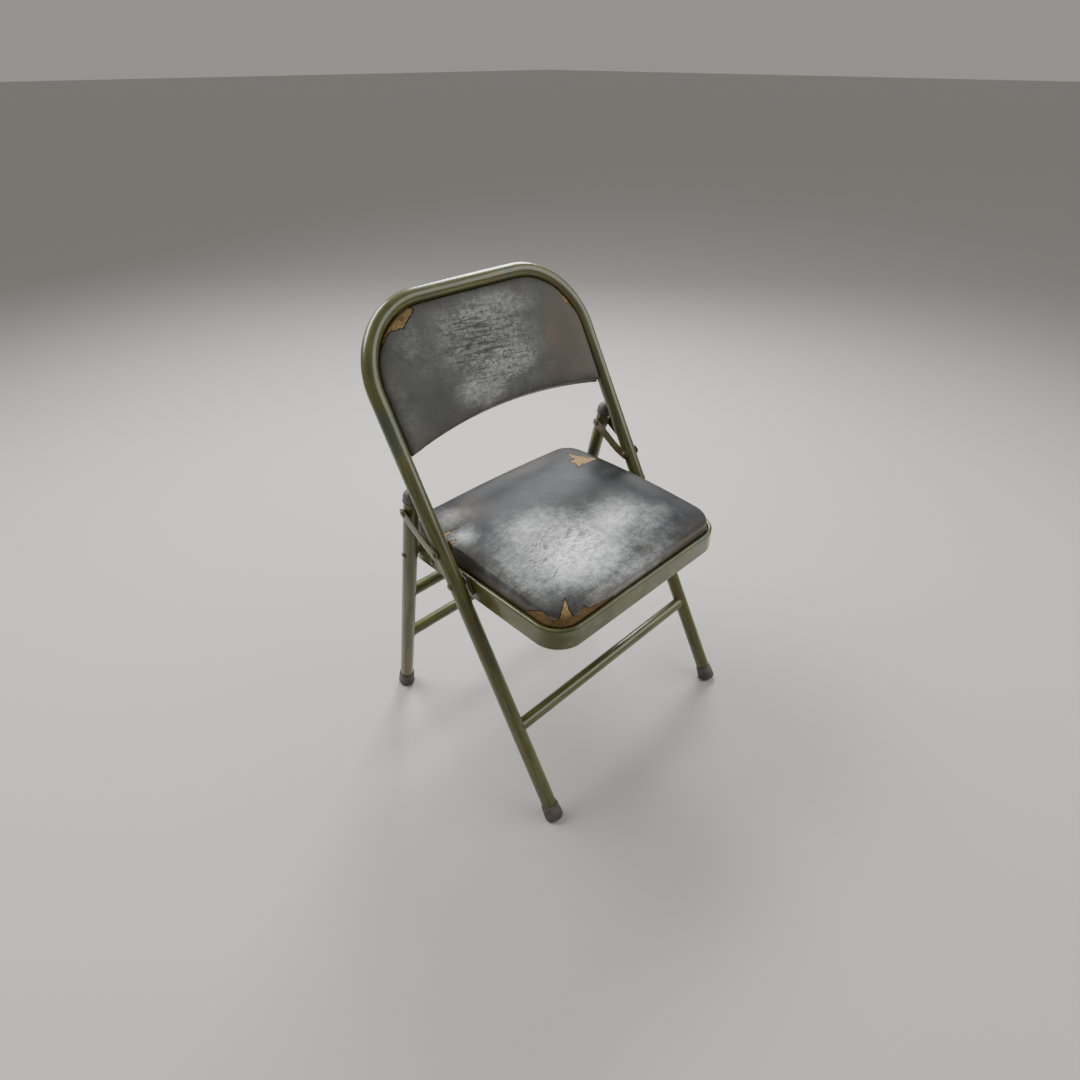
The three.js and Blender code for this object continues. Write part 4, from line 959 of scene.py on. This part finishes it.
# ---- pads
clothSettings = {"use_pressure": True, "uniform_pressure_force": 4.0, "tension_stiffness": 20.0,
                 "compression_stiffness": 4.0, "bending_stiffness": 25.0, "vertex_group_mass": "held"}
softness = {"frames": 20, "smoothRounds": 14, "lastRounds": 3, "weightLevels": 10}


# Blows a pad up as closed cloth: remeshed to even squares, pinned where it is held, its movement capped.
def inflate(piece, voxel, cap, pinAt):
    remesh = piece.modifiers.new("even squares", "REMESH")
    remesh.mode = "VOXEL"
    remesh.voxel_size = voxel
    remesh.use_smooth_shade = True
    applyModifiers(piece)
    start = readVertices(piece.data, "co")
    group = piece.vertex_groups.new(name="held")
    weights, levels = pinAt(start), softness["weightLevels"]
    for level in range(1, levels + 1):
        chosen = np.nonzero((weights > (level - 0.5) / levels) & (weights <= (level + 0.5) / levels))[0]
        group.add(chosen.tolist(), level / levels, "REPLACE")
    cloth = piece.modifiers.new("cloth", "CLOTH")
    for key, value in clothSettings.items():
        setattr(cloth.settings, key, value)
    cloth.settings.effector_weights.gravity = 0
    cloth.point_cache.frame_start = 1
    cloth.point_cache.frame_end = softness["frames"]
    for step in range(1, softness["frames"] + 1):
        bpy.context.scene.frame_set(step)
    applyModifiers(piece)
    bpy.context.scene.frame_set(1)
    moved = evenedOut(piece.data, readVertices(piece.data, "co") - start, softness["smoothRounds"])
    size = np.linalg.norm(moved, axis=1, keepdims=True)
    moved *= cap * np.tanh(size / cap) / np.maximum(size, 1e-9)
    writePoints(piece.data, evenedOut(piece.data, start + moved, softness["lastRounds"]))
    piece.vertex_groups.clear()
    smooth = piece.modifiers.new("finer", "SUBSURF")
    smooth.levels = smooth.render_levels = 1
    applyModifiers(piece)


# Each round moves every value halfway to the mean of its neighbours along the mesh's edges.
def evenedOut(mesh, values, rounds):
    ends = np.empty(len(mesh.edges) * 2, np.int32)
    mesh.edges.foreach_get("vertices", ends)
    first, second = ends[::2], ends[1::2]
    count = np.bincount(ends, minlength=len(values))[:, None]
    for step in range(rounds):
        total = beside(*[np.bincount(first, column[second], len(values))
                         + np.bincount(second, column[first], len(values)) for column in values.T])
        values = (values + total / count) / 2
    return values


def applyModifiers(piece):
    graph = bpy.context.evaluated_depsgraph_get()
    done = bpy.data.meshes.new_from_object(piece.evaluated_get(graph), depsgraph=graph)
    piece.modifiers.clear()
    old = piece.data
    piece.data = done
    bpy.data.meshes.remove(old)


# Places ("co") or directions ("normal") of a mesh's vertices.
def readVertices(mesh, key):
    values = np.empty(len(mesh.vertices) * 3, np.float32)
    mesh.vertices.foreach_get(key, values)
    return values.reshape(-1, 3).astype(float)


def writePoints(mesh, points):
    mesh.vertices.foreach_set("co", points.astype(np.float32).ravel())
    mesh.update()


def writeAttribute(mesh, name, values):
    kind, key = ("FLOAT_VECTOR", "vector") if values.ndim == 2 else ("FLOAT", "value")
    made = mesh.attributes.new(name, kind, "POINT")
    made.data.foreach_set(key, values.astype(np.float32).ravel())


# Distance into a polygon, in the polygon's own units: to the nearest side, less than nothing outside.
def distanceInto(points, polygon):
    polygon = np.asarray(polygon, float)
    nextCorner = np.roll(polygon, -1, axis=0)
    best = np.full(len(points), 1e9)
    inside = np.zeros(len(points), bool)
    for a, b in zip(polygon, nextCorner):
        side, offset = b - a, points - a
        share = np.clip((offset @ side) / (side @ side), 0, 1)
        best = np.minimum(best, np.linalg.norm(offset - share[:, None] * side, axis=1))
        crosses = (a[1] > points[:, 1]) != (b[1] > points[:, 1])
        with np.errstate(divide="ignore", invalid="ignore"):
            at = a[0] + (points[:, 1] - a[1]) / (b[1] - a[1]) * (b[0] - a[0])
        inside ^= crosses & (points[:, 0] < at)
    return np.where(inside, best, -best)


# Smooth 0 to 1 step.
def ease(value, low, high):
    share = np.clip((value - low) / (high - low), 0, 1)
    return share * share * (3 - 2 * share)


# Soft oval patch on a pad, in millimetres: 1 in its middle, out to the share low of its size, 0 outside.
def patch(flat, x, y, halfX, halfY, turn=0.0, low=0.25):
    offset = flat / mm - [x, y]
    turned = offset @ np.array([[cos(turn), -sin(turn)], [sin(turn), cos(turn)]])
    return 1 - ease(np.linalg.norm(turned / [halfX, halfY], axis=1), low, 1.0)


# Soft random relief: a sum of sine waves with seeded directions, each shorter wave lower than the last.
# It is divided by usualSum, which brings it to about one.
usualSum = 3.2


def relief(points, size, seed, waves=24, shorter=0.9):
    dice = np.random.default_rng(seed)
    total = np.zeros(len(points))
    for number in range(waves):
        direction = dice.normal(size=points.shape[1])
        direction /= np.linalg.norm(direction)
        length = size * shorter ** number
        wave = np.sin(2 * pi * (points @ direction) / length + dice.uniform(0, 2 * pi))
        total += shorter ** number * wave
    return total / usualSum


# All in millimetres into a tear: where the cover sinks, where its lip stands up round the tear and how
# wide, and the furthest that the distance is told.
tornEdge = {"sinks": (-0.6, 0.9), "lipAt": -1.3, "lipWidth": 1.3, "far": 20}


# How far the cover is sunk and how far its lip stands up, each from 0 to 1.
def tornShape(tear):
    lip = np.exp(-((tear - tornEdge["lipAt"]) / tornEdge["lipWidth"]) ** 2)
    return ease(tear, *tornEdge["sinks"]), lip


# Wear, stains, painted highlight and painted shade of a pad, as attributes for its vinyl. The others are
# given ready.
def writeWearAndLight(mesh, flat, wearAndSheen, tear, **others):
    def covered(patches):
        return np.max([share * patch(flat, *place) for share, *place in patches], axis=0)

    far = tornEdge["far"]
    # ring: a painted shade round the rubbed middle's painted highlight
    x, y, halfX, halfY, width = wearAndSheen["ring"]
    reach = np.linalg.norm((flat / mm - [x, y]) / [halfX, halfY], axis=1)
    values = {"wearAndSheen": covered(wearAndSheen["rubbed"]), "stain": covered(wearAndSheen["brown"]),
              "ring": np.exp(-((reach - 1) / width) ** 2), "tear": np.clip(tear, -far, far),
              "scuff": np.maximum(wearAndSheen["leastScuff"], patch(flat, *wearAndSheen["scuffed"])),
              "flat": np.pad(flat, ((0, 0), (0, 1)))}
    for name, value in {**values, **others}.items():
        writeAttribute(mesh, name, value)
    mesh.shade_smooth()


seatPad = {"bottom": 0.4 * mm, "level": 60 * mm, "bevel": 2 * mm, "inset": 8.0 * mm, "shoulder": 404.3 * mm,
           "lean": 3.2 * mm, "crown": 14.5 * mm, "crownWidth": 95 * mm, "voxel": 4.5 * mm, "cap": 3.0 * mm,
           "held": (-4 * mm, 6 * mm), "tearDepth": 1.1 * mm, "tearWave": 9 * mm, "tearRagged": 0.35,
           "lip": 0.35 * mm, "waves": 0.35 * mm, "waveLength": 90 * mm, "wavesFrom": (4 * mm, 30 * mm),
           "sideBand": 12 * mm, "sideEdge": (-3 * mm, 6 * mm), "sideShare": 0.4, "edgeBand": 45 * mm,
           "edgeShare": 0.6, "ridgeBelow": 3.5 * mm, "ridgeWidth": 2 * mm, "ridgeFrom": (0.6, 0.9),
           "tearsFrom": 6 * mm}
# u and v run from -1 to 1 across the seat; widest is the v where its sides swell most
swelling = {"height": 12.5 * mm, "frontDrop": 3.5 * mm, "widest": 0.2, "frontReach": 1.2, "rearReach": 0.8,
            "rearCorners": 0.5, "crownShare": 0.25, "middleShare": 0.15, "middleFrom": (15 * mm, 90 * mm)}
seatCentre, seatHalf = (panLow[:2] + panHigh[:2]) / 2, (panHigh[:2] - panLow[:2]) / 2


def seatPadProfile():
    bottom = panFloor + seatPad["bottom"]
    inset, lean, shoulder, bevel = seatPad["inset"], seatPad["lean"], seatPad["shoulder"], seatPad["bevel"]
    top = shoulder + seatPad["crown"]
    return profileRows([
        (None, bottom), (seatPad["level"], bottom), (inset + bevel, bottom), (inset, bottom + bevel),
        (inset, panRim + 1 * mm), (inset + lean * 0.5, (panRim + shoulder) / 2),
        (inset + lean, shoulder), (inset + lean + seatPad["crownWidth"], top, "height", 14), (None, top),
    ])


# How far in from the pad's outline a plan point lies, and the way out of it, for a rounded rectangle.
def insideSeat(plan, inset):
    half = seatHalf - inset
    radius = pan["cornerRadius"] - inset
    offset = plan - seatCentre
    corner = np.abs(offset) - (half - radius)
    outside = np.maximum(corner, 0)
    length = np.linalg.norm(outside, axis=1)
    inside = radius - length - np.minimum(corner.max(axis=1), 0)
    way = np.where((length > 1e-9)[:, None], outside / np.maximum(length, 1e-9)[:, None],
                   (corner == corner.max(axis=1, keepdims=True)).astype(float))
    return inside, way * np.sign(offset)


# Tears of the seat cover, as corners in plan, in millimetres; the cover's sides are unrolled outwards.
seatTears = {
    "frontCorner": [(-245, -112), (-217, -115), (-206, -132), (-199, -143), (-195, -148), (-192, -154),
                    (-193, -160), (-194, -166), (-196, -173), (-191, -179), (-186, -179), (-180, -178),
                    (-174, -174), (-165, -169), (-155, -162), (-159, -171), (-164, -180), (-164, -186),
                    (-161, -190), (-157, -193), (-153, -197), (-149, -192), (-145, -188), (-139, -185),
                    (-136, -189), (-130, -195), (-121, -197), (-110, -200), (-100, -202), (-89, -206),
                    (-80, -207), (-80, -245), (-245, -245)],
    "rearLeftUpper": [(-184, 86), (-176, 85), (-168, 83), (-160, 81), (-152, 78), (-164, 79.5), (-172, 80.5),
                      (-180, 79), (-188, 77), (-196, 78), (-194, 84)],
    "rearLeftLower": [(-192, 63), (-185, 60.5), (-178, 57), (-184, 55.5), (-190, 54), (-197, 51), (-203, 52),
                      (-198, 59)],
    "rearRight": [(154, 129), (158, 117), (166, 106), (173, 96), (179, 86), (187, 75), (169, 77), (153, 78),
                  (142, 78), (136, 78), (124, 73), (134, 84), (136, 91), (131, 105), (142, 101), (149, 102),
                  (149, 112)],
}

seatPadPiece = newPiece("seatPad", [seatRings(seatPadProfile())])


def heldSeat(points):
    return 1 - ease(points[:, 2] - seatPad["shoulder"], *seatPad["held"])


inflate(seatPadPiece, seatPad["voxel"], seatPad["cap"], heldSeat)


# Where the seat is rubbed, with a painted highlight over the rubbed patches, and where it is brown: share,
# then x, y, half widths, turn and full share of each patch; ring is a painted shade round the highlight: x,
# y, half widths and its own width.
seatWearAndLight = {
    "rubbed": [(1.0, -84, -76, 186, 172, 0.0, 0.0), (0.9, -66, -136, 150, 70, 0.0, 0.1),
               (0.56, 24, -92, 180, 136, 0.0, 0.0), (0.46, 50, -130, 190, 110, 0.0, 0.0),
               (0.6, -30, -188, 220, 60, 0.0, 0.0), (0.56, -166, 56, 60, 54, 0.0, 0.0),
               (0.38, -150, 112, 86, 66, 0.0, 0.0)],
    "scuffed": (-70, -80, 125, 90), "leastScuff": 0.2,
    "ring": (-30, -80, 175, 150, 0.2),
    "brown": [(0.6, -120, 110, 80, 50), (0.4, 60, 150, 100, 30), (0.7, -188, 0, 24, 90)],
}


# The shoulder's height varies round the pad: it drops at the front and swells towards the middle of the
# sides and the back. What lies above the shoulder or further in moves less.
def seatSwell(points, inside, u, v):
    past = v - swelling["widest"]
    swell = np.where(past < 0, 1 - (past / swelling["frontReach"]) ** 2,
                     1 - swelling["rearCorners"] * (u * past / swelling["rearReach"]) ** 2)
    crown = ease(points[:, 2], seatPad["shoulder"], seatPad["shoulder"] + seatPad["crown"])
    share = ease(points[:, 2], panRim, seatPad["shoulder"]) - (1 - swelling["crownShare"]) * crown
    share *= 1 - (1 - swelling["middleShare"]) * ease(inside, *swelling["middleFrom"])
    return (swelling["height"] * swell - swelling["frontDrop"]) * share


# Relief of the cover: tears sunk to the fibre, their lips raised, soft waves, and the swollen shoulder.
def finishSeatPad(piece):
    mesh = piece.data
    points, normals = readVertices(mesh, "co"), readVertices(mesh, "normal")
    inside, way = insideSeat(points[:, :2], seatPad["inset"])
    atSide = inside < seatPad["sideBand"]
    below = np.maximum(seatPad["shoulder"] - points[:, 2], 0)
    plan = points[:, :2] + way * below[:, None] * atSide[:, None]
    tear = np.max([distanceInto(plan / mm, polygon) for polygon in seatTears.values()], axis=0)
    tear += seatPad["tearRagged"] * relief(plan, seatPad["tearWave"], 5)
    sunk, lip = tornShape(tear)
    top = ease(points[:, 2], panRim, panRim + seatPad["tearsFrom"])
    waves = seatPad["waves"] * relief(points, seatPad["waveLength"], 3, 10)
    waves *= ease(inside, *seatPad["wavesFrom"])
    u, v = ((points[:, :2] - seatCentre) / (seatHalf - seatPad["inset"])).T
    points[:, 2] += seatSwell(points, inside, u, v)
    points += normals * ((seatPad["lip"] * lip - seatPad["tearDepth"] * sunk) * top + waves)[:, None]
    writePoints(mesh, points)
    side = ease(seatPad["shoulder"] - points[:, 2], *seatPad["sideEdge"]) * atSide
    edge = seatPad["edgeShare"] * (1 - ease(inside, 0, seatPad["edgeBand"])) + seatPad["sideShare"] * side
    # painted highlight line just below the shoulder at the front of the pad
    ridge = np.exp(-((below - seatPad["ridgeBelow"]) / seatPad["ridgeWidth"]) ** 2)
    ridge *= ease(-v, *seatPad["ridgeFrom"]) * atSide
    writeWearAndLight(mesh, plan, seatWearAndLight, tear, edge=np.clip(edge, 0, 1), ridge=ridge)


finishSeatPad(seatPadPiece)
seatVinyl = wornVinyl("seat vinyl", {
    # Painted light in this look: the ring colour is a painted shade, the shoulder line colour a painted
    # highlight, the two light colours of the rubbed middle partly a painted highlight, and the side colour a
    # brown made lighter than the top because the pad's sides get little lamp light.
    "dark": (0.026, 0.028, 0.0295), "mid": (0.045, 0.0485, 0.051), "pale": (0.12, 0.128, 0.132),
    "brown": (0.1, 0.082, 0.06), "ring": (0.03, 0.033, 0.036), "side": (0.12, 0.1, 0.078),
    "ridge": (0.2, 0.19, 0.17), "wearAndSheenLow": (0.32, 0.335, 0.34), "wearAndSheenHigh": (0.8, 0.82, 0.82),
    "scratch": (0.045, 0.043, 0.04), "polish": 0.9, "brush": -0.06,
    # turn, size, length, cut and strength
    "scratches": [(0.5, 200.0, 7.0, 0.555, 0.5), (-0.1, 430.0, 16.0, 0.56, 0.8),
                  (0.25, 380.0, 12.0, 0.62, 0.7), (1.2, 420.0, 11.0, 0.635, 0.7),
                  (-0.85, 460.0, 13.0, 0.64, 0.6)],
    # x, y, turn, half length and half width
    "marks": [(-40, -61, 0.5, 24, 6), (-28, -78, 0.1, 14, 8), (-95, -62, 0.9, 12, 4.5),
              (-118, -84, 0.2, 9, 5), (48, -21, -0.22, 62, 1.1), (20, -60, -0.2, 40, 0.8),
              (-60, -112, -0.12, 46, 0.9), (64, -96, 0.6, 20, 1.6), (-128, -118, 0.5, 18, 2.2),
              (10, -146, 0.1, 30, 1.4), (96, 10, 1.1, 26, 1.2), (-20, 20, -0.3, 34, 1.0)],
})
dress(seatPadPiece, (seatVinyl, "vinyl"), "seat", "seat_pad", "seat_board")
print("seat pad made")

backPad = {"edgeRounding": 16 * mm, "rearRounding": 4 * mm, "voxel": 4.0 * mm, "cap": 2.0 * mm,
           "seamDepth": -3.5 * mm, "rearGap": 0.3 * mm, "tearDepth": 1.0 * mm, "lip": 0.3 * mm,
           "tearWave": 8 * mm, "tearRagged": 0.4, "waves": 0.25, "waveLength": 80 * mm, "creaseWidth": 2.2,
           "edgeBand": 40 * mm, "edgeShare": 0.75, "frontFace": (1 * mm, 5 * mm),
           "heldSide": (22 * mm, 14 * mm), "heldUpper": (-10 * mm, -2 * mm), "heldRear": (-8 * mm, -3 * mm)}
padInset = tubes["radius"] + back["tubeGap"]


# A face of the pad rises from the seam at its border as a quarter ellipse.
def padDepth(rounding, depth):
    def depthAt(edge):
        rise = np.sqrt(1 - (1 - np.clip(edge / rounding, 0, 1)) ** 2)
        return backPad["seamDepth"] + (depth - backPad["seamDepth"]) * rise
    return depthAt


backPadPiece = newPiece("backPad", [sheetRows(panelPoints(
    padInset, back["lowerInset"], padDepth(backPad["edgeRounding"], back["padFront"]),
    padDepth(backPad["rearRounding"], back["padBack"] - backPad["rearGap"]), back["padSteps"]))])


def heldBack(points):
    x, along, depth = toFrame(points).T
    side = ease(legX - np.abs(x), *backPad["heldSide"])
    upper = ease(along - upperEdge(x, padInset), *backPad["heldUpper"])
    return np.maximum(np.maximum(ease(depth - bowAt(x, along), *backPad["heldRear"]), side), upper)


inflate(backPadPiece, backPad["voxel"], backPad["cap"], heldBack)

# Tears of the back cover, as corners across and up the frame's plane, in millimetres.
backTears = {
    "upperLeft": [(-113, 875), (-116, 862), (-118, 855), (-117, 849), (-124, 844), (-131, 839), (-137, 835),
                  (-142, 831), (-148, 826), (-151, 830), (-154, 828), (-161, 828), (-166, 829), (-171, 827),
                  (-175, 824), (-178, 822), (-181, 819), (-187, 814), (-193, 809), (-203, 800), (-240, 800),
                  (-240, 885), (-113, 885)],
    "upperRight": [(170, 850), (174, 834), (179, 824), (186, 814), (184, 806), (187, 797), (190, 792),
                   (195, 793), (197, 783), (202, 789), (204, 779), (208, 786), (240, 790), (240, 870)],
}


# Where the back is rubbed, with a painted highlight over the rubbed patches, bordered by a painted shade and
# brown, as for the seat.
backWearAndLight = {
    "rubbed": [(0.62, -6, 772, 185, 125, -0.3), (0.9, 26, 735, 100, 50, 0.0), (0.8, -40, 708, 90, 50, 0.0),
               (0.72, 15, 818, 150, 50, 0.0), (0.4, -140, 800, 110, 100, 0.0, 0.0),
               (0.36, -205, 715, 50, 120, 0.0, 0.0)],
    "scuffed": (-5, 772, 160, 105, -0.3), "leastScuff": 0.2,
    "ring": (0, 770, 170, 125, 0.18),
    "brown": [(1.0, 170, 745, 90, 110), (0.8, 130, 690, 70, 36), (0.35, -215, 730, 30, 120)],
    # x, along, turn, half length and depth
    "creases": [(-176, 795, -0.9, 22, 0.7), (-184, 785, -0.75, 16, 0.55), (-166, 799, -1.05, 18, 0.5),
                (-190, 803, -0.6, 14, 0.5)],
}


def finishBackPad(piece):
    mesh = piece.data
    points, normals = readVertices(mesh, "co"), readVertices(mesh, "normal")
    local = toFrame(points)
    flat, (x, along, depth) = local[:, :2], local.T
    front = 1 - ease(depth - bowAt(x, along), *backPad["frontFace"])
    tear = np.max([distanceInto(flat / mm, polygon) for polygon in backTears.values()], axis=0)
    tear += backPad["tearRagged"] * relief(flat, backPad["tearWave"], 11)
    tear = tear * front - tornEdge["far"] * (1 - front)
    sunk, lip = tornShape(tear)
    creases = np.zeros(len(points))
    for creaseX, creaseAlong, turn, length, deep in backWearAndLight["creases"]:
        offset = flat / mm - [creaseX, creaseAlong]
        run = offset @ [cos(turn), sin(turn)] / length
        across = offset @ [-sin(turn), cos(turn)] / backPad["creaseWidth"]
        creases += deep * np.exp(-run ** 2 - across ** 2)
    waves = backPad["waves"] * relief(points, backPad["waveLength"], 7, 10)
    height = (backPad["lip"] * lip - backPad["tearDepth"] * sunk) * front + (waves - creases) * mm * front
    writePoints(mesh, points + normals * height[:, None])
    border = np.minimum(legX - padInset - np.abs(x), upperEdge(x, padInset) - along)
    border = np.minimum(border, along - lowerEdge(x, back["lowerInset"]))
    edge = backPad["edgeShare"] * (1 - ease(border, 0, backPad["edgeBand"]))
    writeWearAndLight(mesh, flat, backWearAndLight, tear, edge=edge)


finishBackPad(backPadPiece)
backVinyl = wornVinyl("back vinyl", {
    # Painted light in this look: the ring colour is a painted shade and the two light colours of the rubbed
    # middle are partly a painted highlight.
    "dark": (0.086, 0.089, 0.086), "mid": (0.132, 0.138, 0.134), "pale": (0.2, 0.21, 0.205),
    "brown": (0.18, 0.138, 0.102), "ring": (0.09, 0.092, 0.086), "side": (0.06, 0.054, 0.048),
    "ridge": (0.2, 0.19, 0.17), "wearAndSheenLow": (0.17, 0.18, 0.173), "wearAndSheenHigh": (0.5, 0.52, 0.5),
    "scratch": (0.042, 0.04, 0.035), "polish": 0.3, "brush": -0.08,
    "scratches": [(-0.1, 170.0, 12.0, 0.54, 0.8), (-0.08, 420.0, 18.0, 0.56, 0.85),
                  (0.2, 400.0, 12.0, 0.62, 0.7), (1.15, 430.0, 11.0, 0.64, 0.6)],
    "marks": [(43, 801, -0.08, 56, 1.2), (-43, 775, 0.4, 14, 5), (24, 744, 0.6, 18, 1.4),
              (33, 710, 0.1, 20, 1.0), (30, 716, 0.1, 16, 0.9), (-70, 748, 0.3, 30, 1.1),
              (80, 770, -0.3, 26, 1.2)],
})
dress(backPadPiece, (backVinyl, "vinyl"), "front_frame", "back_pad", "back_board")
print("back pad made")

# ---- floor, light and camera
floorSize = 40.0
seatMiddle = (-0.035, -0.08, 0.42)
# place, target, size and power of each lamp
lamps = {"key": ((-0.7, 1.75, 2.2), seatMiddle, (2.0, 1.0), 66.0),
         "back": ((1.25, 1.12, 1.78), seatMiddle, (0.8, 0.6), 44.0),
         "side": ((1.4, -1.34, 1.7), (0.0, 0.15, 0.65), (2.2, 1.4), 24.0)}
sky = {"colour": (1.0, 0.98, 0.93, 1), "strength": 0.32}
view = {"place": (-0.69512, -0.66174, 1.05362), "up": (0.4127, 0.4206, 0.8079),
        "ahead": (0.5658, 0.5767, -0.5893), "lens": 22.34, "sensor": 36.0, "clip": 0.02}


def inScene(name, data):
    made = bpy.data.objects.new(name, data)
    bpy.context.scene.collection.objects.link(made)
    return made


mesh = bpy.data.meshes.new("floor")
mesh.from_pydata([(x * floorSize, y * floorSize, 0) for x, y in ((-1, -1), (1, -1), (1, 1), (-1, 1))], [],
                 [(0, 1, 2, 3)])
material, tree = newMaterial("pale floor")
surface(tree, {"Base Color": (0.54, 0.53, 0.505, 1), "Roughness": 0.7})
mesh.materials.append(material)
floor = inScene("floor", mesh)

for name, (place, target, size, power) in lamps.items():
    light = bpy.data.lights.new(name, "AREA")
    light.shape = "RECTANGLE"
    light.size, light.size_y = size
    light.energy = power
    holder = inScene(name, light)
    holder.location = place
    holder.rotation_euler = (Vector(target) - Vector(place)).to_track_quat("-Z", "Y").to_euler()

world = bpy.data.worlds.new("studio")
world.use_nodes = True
colour, strength = world.node_tree.nodes["Background"].inputs[:2]
colour.default_value, strength.default_value = sky["colour"], sky["strength"]
bpy.context.scene.world = world

camera = bpy.data.cameras.new("camera")
camera.lens, camera.sensor_width, camera.clip_start = view["lens"], view["sensor"], view["clip"]
ahead = Vector(view["ahead"]).normalized()
right = ahead.cross(Vector(view["up"])).normalized()
turn = Matrix((right, right.cross(ahead), -ahead)).transposed()
eye = inScene("camera", camera)
eye.matrix_world = Matrix.Translation(view["place"]) @ turn.to_4x4()
bpy.context.scene.camera = eye
print("studio made")
